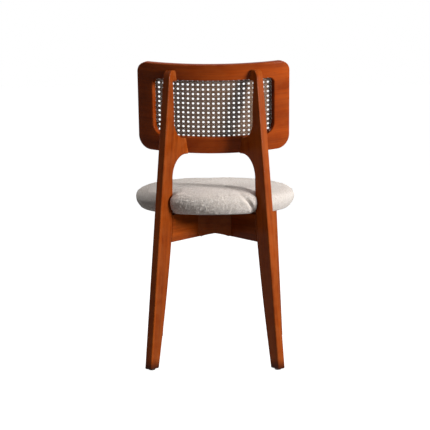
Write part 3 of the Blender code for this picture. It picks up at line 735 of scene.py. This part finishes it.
def back_contact(height):
    """The reach at which a board's middle plane meets the back frame's rear face."""

    def is_behind(reach):
        across = reach * math.sin(spread_angle)
        forward = back_radius - math.sqrt(back_radius**2 - across**2)
        rise = (height - back_low_height - forward * math.sin(back_tilt)) / math.cos(back_tilt)
        face = back_low_distance + rise * math.sin(back_tilt) - forward * math.cos(back_tilt)
        return reach * math.cos(spread_angle) < face

    return crossing_place(0.0, rear_foot_reach, is_behind)


def sheet_ring(half_width, low, high, low_corner, top_corner, offset, crown=0.0):
    """A closed rounded outline on the flat sheet, grown outwards by the offset."""
    half_width += offset
    low -= offset
    high += offset
    low_corner += offset
    top_corner += offset
    right, up = half_width - low_corner, low + low_corner
    top_right, top_up = half_width - top_corner, high - top_corner
    corners = (
        ((right, up), low_corner, -90),
        ((top_right, top_up), top_corner, 0),
        ((-top_right, top_up), top_corner, 90),
        ((-right, up), low_corner, 180),
    )
    arcs = [
        arc_run(centre, radius, radius, first, first + 90, corner_steps)
        for centre, radius, first in corners
    ]
    sides = (short_side_steps, long_side_steps) * 2
    ring = []
    for arc, following, steps in zip(arcs, arcs[1:] + arcs[:1], sides):
        ring += arc
        ring += [arc[-1].lerp(following[0], i / steps) for i in range(1, steps)]
    middle = (low + high) / 2
    for point in ring:
        upper = max(0.0, (point.y - middle) / (high - middle))
        point.y -= crown * upper * (point.x / half_width) ** 2
    return ring


def frame_ring(offset):
    corners = (back_low_corner, back_top_corner)
    return sheet_ring(back_half_width, 0.0, back_rise, *corners, offset, back_crown)


def window_ring(offset):
    corners = (window_low_corner, window_top_corner)
    return sheet_ring(window_half_width, window_low, window_high, *corners, offset)


def make_bent_piece(name, node, loops):
    """Joins closed loops of (ring, depth) in order, the last back to the first, bent as the back is."""
    shape = bmesh.new()
    grain = shape.verts.layers.float_vector.new("grain")
    rows = []
    for ring, depth in loops:
        row = []
        for point in ring:
            vert = shape.verts.new(back_point(point.x, point.y, depth))
            vert[grain] = (point.x, point.y, depth)
            row.append(vert)
        rows.append(row)
    join_rows(shape, rows + rows[:1])
    mesh = closed_mesh(name, shape)
    obj = new_piece(name, mesh, back_wood, "stained_wood", node, smooth_degrees=back_smooth_degrees)
    join_piece(obj)


def rounded_corner(ring_of, sign, depth_from, depth_to):
    """The loops of one rounded edge, from a ring's wall to its face. The window's sign is +1."""
    loops = []
    for step in range(rounding_steps + 1):
        angle = quarter_turn * step / rounding_steps
        inward = back_rounding * (1 - math.cos(angle))
        depth = depth_from + (depth_to - depth_from) * math.sin(angle)
        loops.append((ring_of(sign * inward), depth))
    return loops


def make_back_frame():
    land = back_thickness - rebate_depth
    floor = back_thickness - groove_depth
    groove_far = groove_offset + groove_width
    loops = rounded_corner(frame_ring, -1, back_rounding, 0.0)
    loops += rounded_corner(window_ring, 1, back_rounding, 0.0)[::-1]
    loops += [
        (window_ring(0.0), land - rebate_chamfer),
        (window_ring(rebate_chamfer), land),
        (window_ring(groove_offset), land),
        (window_ring(groove_offset), floor),
        (window_ring(groove_far), floor),
        (window_ring(groove_far), back_thickness - groove_chamfer),
        (window_ring(groove_far + groove_chamfer), back_thickness),
    ]
    loops += rounded_corner(frame_ring, -1, back_thickness - back_rounding, back_thickness)[::-1]
    make_bent_piece("backrest_bent_frame", "backrest_frame", loops)


def make_spline():
    near = groove_offset + 2 * clearance + lip_thickness
    far = groove_offset + groove_width - clearance
    top = back_thickness - clearance
    middle = (near + far) / 2
    half = (far - near) / 2
    loops = [(window_ring(near), top - spline_depth), (window_ring(far), top - spline_depth)]
    for step in range(spline_crown_steps + 1):
        angle = math.radians(180) * step / spline_crown_steps
        depth = top - spline_crown_drop + spline_crown * math.sin(angle)
        loops.append((window_ring(middle + half * math.cos(angle)), depth))
    make_bent_piece("cane_spline_strip", "cane_spline", loops)


# Woven cane

pair_half_gap = 0.00190
pair_width = 0.0031
diagonal_width = 0.0028
strand_half_thickness = 0.00021
strand_grain_steps = (0.013, 0.029)
weave_lift = 0.00030
weave_bend_length = 0.0012
diagonal_lift = 0.00062
cane_level = back_thickness - rebate_depth + 0.0011
fold_drop = 0.0034
steps_a_hole = 8
cane_smooth_degrees = 80
cane_left = -cane_columns * cane_pitch / 2
cane_low = window_low + cane_low_border


def inside_fold(x, y):
    """Whether a place on the sheet lies inside the fold where the cane turns down into its groove."""
    reach = groove_offset + clearance
    half, low, high = window_half_width + reach, window_low - reach, window_high + reach
    if abs(x) > half or not low < y < high:
        return False
    upper = y > (low + high) / 2
    corner = (window_top_corner if upper else window_low_corner) + reach
    dx = abs(x) - (half - corner)
    dy = (y - (high - corner)) if upper else ((low + corner) - y)
    return not (dx > 0 and dy > 0 and math.hypot(dx, dy) > corner)


def add_strand(shape, grain, run, width, lift, number):
    """One strand along a straight run of the sheet. Lift gives its height in the weave at a place."""
    kept = [point for point in run if inside_fold(point.x, point.y)]
    if len(kept) < 3:
        return
    along = (kept[-1] - kept[0]).normalized()
    across = Vector((-along.y, along.x))
    half, thin = width / 2, strand_half_thickness
    section = ((-half, 0.0), (-half * 0.55, thin), (0.0, thin * 1.25), (half * 0.55, thin), (half, 0.0))
    section += ((half * 0.5, -thin), (-half * 0.5, -thin))
    aside_step, up_step = strand_grain_steps
    drops = [fold_drop] + [0.0] * len(kept) + [fold_drop]
    rows = []
    for point, drop in zip([kept[0], *kept, kept[-1]], drops):
        row = []
        for aside, up in section:
            spot = point + across * aside
            depth = cane_level + lift(point) + up - drop
            vert = shape.verts.new(back_point(spot.x, spot.y, depth))
            vert[grain] = (point.dot(along), aside + number * aside_step, up + number * up_step)
            row.append(vert)
        rows.append(row)
    close_rod(shape, rows)


def pair_lift(value, origin, pitch, hand):
    """How far a strand of a pair rises near each crossing pair: over one strand, under the other."""
    gap = value - origin - round((value - origin) / pitch) * pitch
    near = math.exp(-(((abs(gap) - pair_half_gap) / weave_bend_length) ** 2))
    return weave_lift * near * hand * (1 if gap > 0 else -1)


def cane_strands():
    """Each strand's run, width and lift: the upright pairs, the level pairs, then the two diagonals."""
    across_steps = range(-steps_a_hole, (cane_columns + 1) * steps_a_hole + 1)
    up_steps = range(-steps_a_hole, (cane_rows + 1) * steps_a_hole + 1)
    for i in range(-1, cane_columns + 2):
        for hand in (-1, 1):
            x = cane_left + i * cane_pitch + hand * pair_half_gap
            run = [Vector((x, cane_low + cane_row_pitch * j / steps_a_hole)) for j in up_steps]
            yield run, pair_width, lambda point: pair_lift(point.y, cane_low, cane_row_pitch, hand)
    for j in range(-1, cane_rows + 2):
        for hand in (-1, 1):
            y = cane_low + j * cane_row_pitch + hand * pair_half_gap
            run = [Vector((cane_left + cane_pitch * i / steps_a_hole, y)) for i in across_steps]
            yield run, pair_width, lambda point: -pair_lift(point.x, cane_left, cane_pitch, hand)
    for slope in (-1, 1):
        for k in range(-cane_rows - 3, cane_columns + cane_rows + 4):
            run = []
            for i in across_steps:
                column = i / steps_a_hole
                row = slope * (column - k - 0.5)
                run.append(Vector((cane_left + column * cane_pitch, cane_low + row * cane_row_pitch)))
            yield run, diagonal_width, lambda point: slope * diagonal_lift * math.cos(
                2 * math.pi * (point.x - cane_left) / cane_pitch
            )


def make_cane():
    shape = bmesh.new()
    grain = shape.verts.layers.float_vector.new("grain")
    for number, (run, width, lift) in enumerate(cane_strands()):
        add_strand(shape, grain, run, width, lift, number)
    mesh = closed_mesh("woven_cane", shape)
    obj = new_piece(
        "woven_cane", mesh, split_cane, "cane", "cane_panel", smooth_degrees=cane_smooth_degrees
    )
    join_piece(obj)


# Boards

board_steps = 16
fillet_steps = 20
neck_steps = 10
edge_steps = 24
rail_steps = 20
block_rounding_steps = 3
pocket_sides = 40
cope_sides = 720
cope_low, cope_high = 0.03, 0.05
shoulder_steps = 8


def rear_edge(height):
    return rear_foot_reach - rear_lean_share * height


def front_edge(height):
    return front_foot_reach - front_lean_share * height


rear_inner_points = [(rear_edge(height) - width, height) for height, width in rear_widths]
front_inner_points = [(front_edge(height) - width, height) for height, width in front_widths]


def rear_leg_outline():
    waist = rear_widths[-1][0]
    foot = rear_widths[0][0]
    inner = smooth_run(rear_inner_points, board_steps)
    under_centre = (inner[-1].x - under_fillet_width, waist)
    under = arc_run(under_centre, under_fillet_width, under_fillet_height, 0, 90, fillet_steps)
    horn_tip = back_contact(back_low_height) - board_thickness
    slim_reach = rear_edge(slim_height) - slim_width
    upper_centre = (horn_top_reach, horn_high + upper_fillet_height)
    upper = arc_run(upper_centre, slim_reach - horn_top_reach, upper_fillet_height, -90, 0, board_steps)
    neck = (rear_edge(head_joint_low) - neck_width, head_joint_low)
    front = smooth_run([tuple(upper[-1]), (slim_reach, slim_height), neck], neck_steps)
    head_tip = back_contact(head_joint_low) - board_thickness
    head_start = rear_leg_height - leg_head_drop
    head_centre = (rear_edge(head_start) - leg_head_round, head_start)
    head = arc_run(head_centre, leg_head_round, leg_head_drop, 0, 90, board_steps)
    points = inner[:-1] + under + [(horn_tip, back_low_height), (horn_tip, horn_high)]
    points += upper + front[1:] + [(head_tip, head_joint_low), (head_tip, rear_leg_height)]
    return points + head[::-1] + [(rear_edge(foot), foot)]


def front_leg_outline():
    foot = front_widths[0][0]
    inner = smooth_run(front_inner_points, board_steps)
    return inner + [(front_edge(frame_height), frame_height), (front_edge(foot), foot)]


def edge_reach(points, height):
    """The reach of a leg's inner edge at a height."""
    run = smooth_run(points, edge_steps)
    for below, above in zip(run, run[1:]):
        if below.y <= height <= above.y:
            return below.x + (above.x - below.x) * (height - below.y) / (above.y - below.y)
    return run[-1].x


def make_legs():
    axis = back_origin + back_forward * back_radius
    low, high = axis - back_up * cope_low, axis + back_up * (back_rise + cope_high)
    cope = rod_shape("cope", back_radius + clearance, low, high, cope_sides)
    boards = (
        ("rear", 1, rear_leg_outline(), rear_lean_share, (0.7, 0.31, 0.2)),
        ("front", -1, front_leg_outline(), front_lean_share, (1.9, 0.53, 0.6)),
    )
    for side, hand in ((1, "left"), (-1, "right")):
        for place, end, outline, lean, shift in boards:
            matrix = plane_matrix(side, end)
            leg = slab("board", outline, board_thickness, matrix)
            round_edges(leg, edge_rounding)
            if place == "rear":
                cut(leg, cope)
            names = (f"{place}_leg_board_{hand}", f"{place}_leg_{hand}")
            shift = (side * shift[0], side * shift[1], shift[2])
            finish_board(leg, matrix, leg_wood, *names, (-lean, 1, 0), (1, lean, 0), shift)
    discard(cope)


def rail_shoulder(points, sign):
    """The upright end of a rail, which butts on a leg's inner edge."""
    run = []
    for step in range(shoulder_steps + 1):
        height = rail_low + (frame_height - rail_low) * step / shoulder_steps
        run.append(Vector((sign * (edge_reach(points, height) - clearance), height)))
    return run


def make_rails():
    rear = rail_shoulder(rear_inner_points, 1)
    front = rail_shoulder(front_inner_points, -1)[::-1]
    under_middle = (0, frame_height - rail_centre_height)
    under = smooth_run([tuple(front[-1]), under_middle, tuple(rear[0])], rail_steps)
    outline = under[1:-1] + rear + front
    halving_height = (frame_height - rail_centre_height + frame_height) / 2
    aside = 2 * board_thickness
    for side, name, low, high in (
        (1, "upper", rail_low - cut_margin, halving_height + clearance / 2),
        (-1, "lower", halving_height - clearance / 2, frame_height + cut_margin),
    ):
        matrix = plane_matrix(side, 1)
        rail = slab("rail", outline, board_thickness, matrix)
        round_edges(rail, edge_rounding)
        notch = [(-aside, low), (aside, low), (aside, high), (-aside, high)]
        halving = slab("halving", notch, 2 * (board_thickness / 2 + clearance), plane_matrix(-side, 1))
        cut(rail, halving)
        names = (f"crossed_rail_{name}", f"cross_rail_{name}")
        shift = (side * 0.4, side * 0.83, 0.9)
        finish_board(rail, matrix, rail_wood, *names, (1, 0, 0), (0, 1, 0), shift)
        discard(halving)


def make_blocks():
    face_gap = (board_thickness / 2 + clearance) / math.cos(spread_angle)
    block_low = frame_height - block_drop
    near = block_face_depth - block_thickness
    middle = (block_face_depth + near) / 2
    slope = math.tan(spread_angle)
    wide, narrow = block_face_depth * slope - face_gap, near * slope - face_gap
    half, flat = block_arch_width / 2, block_arch_flat / 2
    arch_high = block_low + block_arch_rise
    arch = [(-half, block_low - cut_margin), (-half, block_low), (-flat, arch_high)]
    arch += [(-aside, height) for aside, height in arch[::-1]]
    matrix = to_chair @ Matrix.Translation((0, 0, (block_low + frame_height) / 2))
    for end, word in ((1, "rear"), (-1, "front")):
        face, back = end * block_face_depth, end * near
        plan = [(-wide, face), (wide, face), (narrow, back), (-narrow, back)]
        block = slab("block", plan[::end], frame_height - block_low, matrix)
        across = to_chair @ Matrix.Translation((0, end * middle, 0)) @ upright
        cutters = [slab("arch", arch, block_thickness + cut_margin, across)]
        cut(block, cutters[0])
        round_edges(block, edge_rounding / 2, block_rounding_steps)
        for side in (1, -1):
            spot = Vector((side * screw_spacing / 2, end * middle + depth_shift, 0))
            low = spot + Vector((0, 0, block_low - cut_margin))
            high = spot + Vector((0, 0, screw_seat_height))
            cutters.append(rod_shape("pocket", screw_pocket_diameter / 2, low, high, pocket_sides))
            cut(block, cutters[-1])
        names = (f"corner_block_{word}", f"{word}_corner_block")
        shift = (end * 0.2, end * 1.3, 0.4)
        finish_board(block, matrix, rail_wood, *names, (1, 0, 0), (0, 0, 1), shift)
        for cutter in cutters:
            discard(cutter)


# Seat

leg_along = Vector((math.sin(spread_angle), math.cos(spread_angle)))
leg_across = Vector((math.cos(spread_angle), -math.sin(spread_angle)))
leg_turn = quarter_turn - spread_angle
seat_cut_reach = edge_reach(rear_inner_points, frame_height + cushion_height / 2) - notch_gap
seat_centre = Vector((0, seat_centre_offset + depth_shift))
rear_rim_steps = 15
side_rim_steps = 48
profile_steps = 4
cushion_smooth_degrees = 180

# How the cloth lies against the leg boards
cloth_roll_share = 0.28
cloth_notch_gap = 0.0022
cloth_notch_corner = 0.004
cloth_leg_gap = 0.0010

# The cushion before and while it swells
start_smaller = 0.0006
start_lower = 0.0042
swell_cap = 0.0055
swell_frames = 20
voxel = 0.005
underside_height = 0.004

# The cloth's slow unevenness, its loops, and how it is turned up under the hem
uneven_scale, uneven_height = 17.0, 0.0011
uneven_fade_height = 0.02
loop_scale, loop_height, loop_sink = 130.0, 0.0016, 0.0005
hem_inset = cushion_roll * cushion_profile_shares[0][0]
hem_degrees = 3
hem_slope_width = 0.004
hem_rise = 0.0013
hem_usual_reach = 0.18

# The fold at the right rear leg, as (x, height over the seat's underside) from its upper end
crease_path = (
    (-0.046, 0.0605),
    (-0.068, 0.0545),
    (-0.0845, 0.0420),
    (-0.0955, 0.0255),
    (-0.1020, 0.0060),
)
crease_steps = 12
crease_depth = 0.0078
crease_width = 0.0052
crease_leg_side_width = 0.0040
crease_start = 0.10
crease_fade_share = 0.5
crease_end_share = 0.3
crease_end_strength = 0.3

# The lining and its staples
lining_notch_depth = 0.0024
lining_rings = (1.0, 0.985, 0.93, 0.8, 0.62, 0.42, 0.22)
lining_thickness = 0.0004
lining_edge_height, lining_height, lining_tip_height = 0.0009, 0.0006, 0.0002
lining_sag, lining_ripple, lining_ripple_scale = 0.0005, 0.00035, 30
staple_step = 6
staple_inset = 0.006
staple_half_length = 0.0048
staple_half_thickness = 0.00035
staple_low, staple_high = 0.0001, 0.0011


def rim_point(angle, inset):
    """A place on the seat's plain outline, in the direction of the angle about the seat's centre."""
    rear = math.sin(angle) > 0
    power = seat_rear_exponent if rear else seat_front_exponent
    depth = (seat_rear_depth if rear else seat_front_depth) - inset
    width = seat_half_width - inset
    term = abs(math.cos(angle) / width) ** power + abs(math.sin(angle) / depth) ** power
    reach = term ** (-1 / power)
    return Vector((reach * math.cos(angle), seat_centre_offset + reach * math.sin(angle)))


def rim_angle(aside, inset):
    """The angle at which the outline passes a given distance aside of the left rear leg's plane."""

    def is_before(angle):
        return rim_point(angle, inset).dot(leg_across) < aside

    reach = math.radians(50)
    return crossing_place(leg_turn + reach, leg_turn - reach, is_before)


def rim_run(first, last, inset, steps):
    return [rim_point(first + (last - first) * i / steps, inset) for i in range(steps + 1)]


def seat_ring(inset, behind=0.0, opening=1.0, gap=notch_gap, corner=notch_corner):
    """The seat's outline drawn in by the inset, with a notch round each rear leg that fades inwards.

    The opening says how fast the notch widens as the outline is drawn in."""
    half = board_thickness / 2 + gap + opening * inset
    half = min(half, notch_widest_share * (seat_half_width - inset))
    mouth = half + corner
    floor = seat_cut_reach - notch_fade_share * inset - behind
    start, stop = rim_angle(-mouth, inset), rim_angle(mouth, inset)
    notch = []
    for aside, drop, on_floor in (
        (-half - corner * 0.3, corner * 0.3, False),
        (-half, corner, False),
        (-half * 0.95, 0.0, True),
        (half * 0.95, 0.0, True),
        (half, corner, False),
        (half + corner * 0.3, corner * 0.3, False),
    ):
        reach = rim_point(rim_angle(aside, inset), inset).dot(leg_along)
        wanted = min(floor, reach) if on_floor else max(min(floor, reach), reach - drop)
        notch.append(leg_along * wanted + leg_across * aside)
    half_ring = rim_run(quarter_turn, start, inset, rear_rim_steps) + notch
    half_ring += rim_run(stop, -quarter_turn, inset, side_rim_steps)
    return half_ring + [Vector((-point.x, point.y)) for point in half_ring[1:-1]][::-1]


def in_chair(ring):
    """An outline of the seat's own plan, where the seat stands in the chair."""
    return [Vector((point.x, point.y + depth_shift)) for point in ring]


def drawn_in(profile, distance):
    """The profile moved to its inner side by the distance."""
    moved = []
    for i, place in enumerate(profile):
        before, after = Vector(profile[max(0, i - 1)]), Vector(profile[min(len(profile) - 1, i + 1)])
        along = (after - before).normalized()
        moved.append((place[0] + along.y * distance, place[1] - along.x * distance))
    return moved


def closed_cushion(distance, lowered):
    """The padded seat as one closed form, drawn in but for its underside, with its crown lowered."""
    profile = [(cushion_roll * inward, cushion_height * up) for inward, up in cushion_profile_shares]
    run = [tuple(point) for point in smooth_run(profile[1:], profile_steps)]
    if distance:
        run = drawn_in(run, distance)
        run = [
            (inset, max(0.0, height - lowered * (height / cushion_height) ** 2))
            for inset, height in run
        ]
    shape = bmesh.new()
    rows = []
    widest = min(range(len(run)), key=lambda i: run[i][0])
    for i, (inset, height) in enumerate(run):
        opening = cloth_roll_share if i > widest else 0.0
        ring = in_chair(seat_ring(inset, 0.0, opening, cloth_notch_gap, cloth_notch_corner))
        rows.append([shape.verts.new((point.x, point.y, seat_low + height)) for point in ring])
    join_rows(shape, rows)
    crown = shape.verts.new((*seat_centre, seat_low + cushion_height - distance - lowered))
    under = shape.verts.new((*seat_centre, seat_low))
    close_to_tip(shape, rows[-1], crown)
    close_to_tip(shape, rows[0], under)
    return placed("cushion", closed_mesh("cushion", shape))


def swell(obj):
    """Blows the cushion up against its pinned underside, and caps how far a point moves."""
    mesh = obj.data
    pinned = obj.vertex_groups.new(name="underside")
    flat = [vert.index for vert in mesh.vertices if vert.co.z < seat_low + underside_height]
    pinned.add(flat, 1.0, "REPLACE")
    before = [vert.co.copy() for vert in mesh.vertices]
    cloth = obj.modifiers.new("Cloth", "CLOTH")
    settings = cloth.settings
    settings.quality = 6
    settings.mass = 0.3
    settings.tension_stiffness = 12
    settings.compression_stiffness = 12
    settings.shear_stiffness = 4
    settings.bending_stiffness = 0.4
    settings.use_pressure = True
    settings.uniform_pressure_force = 0.5
    settings.vertex_group_mass = "underside"
    settings.effector_weights.gravity = 0
    cloth.point_cache.frame_start = 1
    cloth.point_cache.frame_end = swell_frames
    scene = bpy.context.scene
    for number in range(1, swell_frames + 1):
        scene.frame_set(number)
    graph = bpy.context.evaluated_depsgraph_get()
    after = [vert.co.copy() for vert in obj.evaluated_get(graph).data.vertices]
    obj.modifiers.remove(cloth)
    scene.frame_set(1)
    for vert, old, new in zip(mesh.vertices, before, after):
        move = new - old
        if move.length > swell_cap:
            move *= swell_cap / move.length
        vert.co = old + move


def point_normals(mesh):
    return [normal.vector.copy() for normal in mesh.vertex_normals]


def texture_cloth(mesh):
    """Raises the cloth's unevenness and loops, and slopes its underside up from hem to lining."""

    def turn_of(away):
        return round(math.degrees(math.atan2(away.y, away.x)) / hem_degrees)

    hem_reach = {}
    for point in in_chair(seat_ring(hem_inset)):
        away = point - seat_centre
        hem_reach[turn_of(away)] = away.length
    for vert, normal in zip(mesh.vertices, point_normals(mesh)):
        slow = noise.noise(vert.co * uneven_scale) * uneven_height
        loop = abs(noise.noise(vert.co * loop_scale)) * loop_height - loop_sink
        height = vert.co.z - seat_low
        if height > underside_height:
            vert.co += normal * (slow * min(1.0, height / uneven_fade_height) + loop)
            continue
        away = Vector((vert.co.x, vert.co.y)) - seat_centre
        turn = turn_of(away)
        near = (hem_reach.get(turn), hem_reach.get(turn + 1), hem_reach.get(turn - 1), hem_usual_reach)
        reach = next(found for found in near if found)
        inside = min(1.0, max(0.0, (reach - away.length) / hem_slope_width))
        vert.co.z = max(vert.co.z, seat_low) + inside * hem_rise


def fold_crease(mesh):
    """The fold down the rear bulge to the right rear leg, where the cloth is drawn round the board."""
    run = smooth_run(crease_path, crease_steps)
    right, left = run[-1].x - 3 * crease_leg_side_width, run[0].x + 3 * crease_width
    for vert, normal in zip(mesh.vertices, point_normals(mesh)):
        if vert.co.y < crease_start or not right < vert.co.x < left:
            continue
        place = Vector((vert.co.x, vert.co.z - seat_low))
        near = min(range(len(run)), key=lambda i: (run[i] - place).length_squared)
        off = place - run[near]
        width = crease_leg_side_width if off.x < 0 else crease_width
        share = near / (len(run) - 1)
        foot_strength = crease_end_strength + (1 - share) / crease_end_share
        strength = min(1.0, share / crease_fade_share, foot_strength)
        vert.co -= normal * crease_depth * strength * math.exp(-((off.length / width) ** 2))


def press_on_legs(mesh):
    """Flattens the cloth where it lies against the two boards that stand in its notches."""
    nearest = board_thickness / 2 + cloth_leg_gap
    for vert in mesh.vertices:
        side = 1 if vert.co.x > 0 else -1
        place = Vector((side * vert.co.x, vert.co.y - depth_shift))
        aside, reach = place.dot(leg_across), place.dot(leg_along)
        if abs(aside) < nearest and reach > seat_cut_reach + notch_gap - cloth_leg_gap:
            aside = math.copysign(nearest, aside)
            place = leg_along * reach + leg_across * aside
            vert.co.x, vert.co.y = side * place.x, place.y + depth_shift


def make_cushion():
    obj = closed_cushion(start_smaller, start_lower)
    remesh = obj.modifiers.new("Even mesh", "REMESH")
    remesh.mode = "VOXEL"
    remesh.voxel_size = voxel
    obj = placed("cushion", settled(obj))
    swell(obj)
    soft = obj.modifiers.new("Soft", "SMOOTH")
    soft.factor = 0.5
    soft.iterations = 2
    finer = obj.modifiers.new("Finer", "SUBSURF")
    finer.levels = finer.render_levels = 1
    mesh = settled(obj)
    mesh.name = "padded_seat"
    texture_cloth(mesh)
    fold_crease(mesh)
    press_on_legs(mesh)
    nodes, degrees = ("seat_cover", "seat_foam"), cushion_smooth_degrees
    obj = new_piece("padded_seat", mesh, off_white_loops, "seat_cloth", *nodes, smooth_degrees=degrees)
    join_piece(obj)


def make_lining():
    """The black lining under the seat, drawn flat and stapled round its edge."""
    places = in_chair(seat_ring(base_cloth_inset, lining_notch_depth))
    shape = bmesh.new()
    rows = []
    for share in lining_rings:
        high = lining_edge_height if share == 1.0 else lining_height
        row = []
        for point in places:
            spot = seat_centre.lerp(point, share)
            wave = Vector((spot.x * lining_ripple_scale, spot.y * lining_ripple_scale, 1.0))
            sag = lining_sag * (1 - share) + lining_ripple * noise.noise(wave)
            row.append(shape.verts.new((spot.x, spot.y, seat_low + high - sag)))
        rows.append(row)
    join_rows(shape, rows)
    close_to_tip(shape, rows[-1], shape.verts.new((*seat_centre, seat_low + lining_tip_height)))
    obj = placed("lining", closed_mesh("lining", shape))
    thick = obj.modifiers.new("Thickness", "SOLIDIFY")
    thick.thickness = lining_thickness
    thick.offset = 0
    mesh = settled(obj)
    mesh.name = "seat_lining"
    obj = new_piece("seat_lining", mesh, bonded_lining, "lining", "base_cloth")
    staples = make_staples(places)
    join_piece(obj)


def make_staples(places):
    """A row of staples just inside the lining's edge; each is a wire bent down at both ends."""
    low, high = seat_low - staple_low, seat_low + staple_high
    half, thin = staple_half_length, staple_half_thickness
    bends = ((-half, high), (-half, low + thin), (-half + thin * 2, low))
    bends += tuple((-step, height) for step, height in bends[::-1])
    section = ((-thin, 0), (thin, 0), (thin, 2 * thin), (-thin, 2 * thin))
    shape = bmesh.new()
    for i in range(0, len(places), staple_step):
        point, following = places[i], places[(i + 1) % len(places)]
        along = (following - point).normalized()
        across = Vector((-along.y, along.x))
        spot = point + (seat_centre - point).normalized() * staple_inset
        rows = []
        for step, height in bends:
            row = []
            for aside, up in section:
                flat = spot + along * step + across * aside
                row.append(shape.verts.new((flat.x, flat.y, height + up)))
            rows.append(row)
        close_rod(shape, rows)
    mesh = closed_mesh("lining_staples", shape)
    return join_piece(new_piece("lining_staples", mesh, plated_steel, "screw_steel"))


def dress_small_parts():
    """Pins, board, screws and glides keep their solids and get their finish."""
    finishes = (
        ("back_dowel", beech_pin),
        ("block_dowel", beech_pin),
        ("seat_board", birch_ply),
        ("seat_screw", plated_steel),
        ("glide", moulded_glide),
    )
    for name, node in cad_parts.items():
        for start, made in finishes:
            if name.startswith(start):
                node.data.materials.clear()
                node.data.materials.append(made)


make_back_frame()
make_spline()
make_cane()
make_legs()
make_rails()
make_blocks()
make_cushion()
make_lining()
dress_small_parts()


# Studio

floor_reach = 20
floor_gray = 0.3
floor_glow_near, floor_glow_far = (0.35, 0.93), (1.3, 1.0)
world_light = 0.045
seat_middle = (0, 0, 0.45)
picture_width = 430
picture_focal_length = 1544
sensor_width = 36
camera_place = (-0.067, 4.1233, 0.867)
camera_turn = math.radians(180.935)
camera_drop = math.radians(6.801)
camera_roll = math.radians(-0.45)


def seen_directly(tree):
    """1 for what the camera sees, also in gloss and through glass, and 0 for light on the chair."""
    rays = put(tree, "LightPath").outputs
    seen = maths(tree, "MAXIMUM", rays["Is Camera Ray"], rays["Is Glossy Ray"])
    return maths(tree, "MAXIMUM", seen, rays["Is Transmission Ray"])


def make_floor():
    shape = bmesh.new()
    bmesh.ops.create_grid(shape, x_segments=2, y_segments=2, size=floor_reach)
    mesh = finished_mesh("studio_floor", shape)
    obj = placed("studio_floor", mesh)
    made, tree, surface = new_material("white_floor", Roughness=0.9, Specular_IOR_Level=0.0)
    surface["Base Color"].default_value = (floor_gray, floor_gray, floor_gray, 1)
    surface["Emission Color"].default_value = (1, 1, 1, 1)
    away = put(tree, "VectorMath", {"operation": "LENGTH"}, at_0=own_place(tree)).outputs["Value"]
    (near, near_glow), (far, far_glow) = floor_glow_near, floor_glow_far
    glow = spread(tree, away, near, far, near_glow, far_glow)
    tree.links.new(maths(tree, "MULTIPLY", seen_directly(tree), glow), surface["Emission Strength"])
    mesh.materials.append(made)


def make_world():
    world = bpy.data.worlds.new("studio")
    bpy.context.scene.world = world
    world.use_nodes = True
    tree = world.node_tree
    back = tree.nodes["Background"].inputs
    back["Color"].default_value = (1, 1, 1, 1)
    strength = maths(tree, "MULTIPLY_ADD", seen_directly(tree), 1 - world_light, world_light)
    tree.links.new(strength, back["Strength"])


def make_lamp(name, place, target, size, power):
    lamp = bpy.data.lights.new(name, "AREA")
    lamp.shape = "DISK"
    lamp.size = size
    lamp.energy = power
    obj = placed(name, lamp)
    obj.location = place
    obj.rotation_euler = (Vector(target) - Vector(place)).to_track_quat("-Z", "Y").to_euler()


def make_camera():
    """The photograph's view: from behind, a little to its right, slightly from above."""
    lens = bpy.data.cameras.new("camera")
    lens.sensor_width = sensor_width
    lens.sensor_fit = "HORIZONTAL"
    lens.lens = picture_focal_length / picture_width * sensor_width
    obj = placed("camera", lens)
    aim = Matrix.Rotation(camera_turn, 4, "Z")
    pitch = Matrix.Rotation(quarter_turn - camera_drop, 4, "X")
    roll = Matrix.Rotation(camera_roll, 4, "Z")
    obj.matrix_world = Matrix.Translation(camera_place) @ aim @ pitch @ roll
    bpy.context.scene.camera = obj


make_floor()
make_world()
make_lamp("key_lamp", (-1.56, 1.00, 0.98), seat_middle, 0.55, 55)
make_lamp("top_lamp", (0.3, 0.5, 3.2), (0, 0, 0.4), 1.6, 40)
make_lamp("front_lamp", (1.35, -1.3, 1.9), seat_middle, 0.9, 24)
make_camera()
bpy.context.scene.view_settings.view_transform = "Standard"
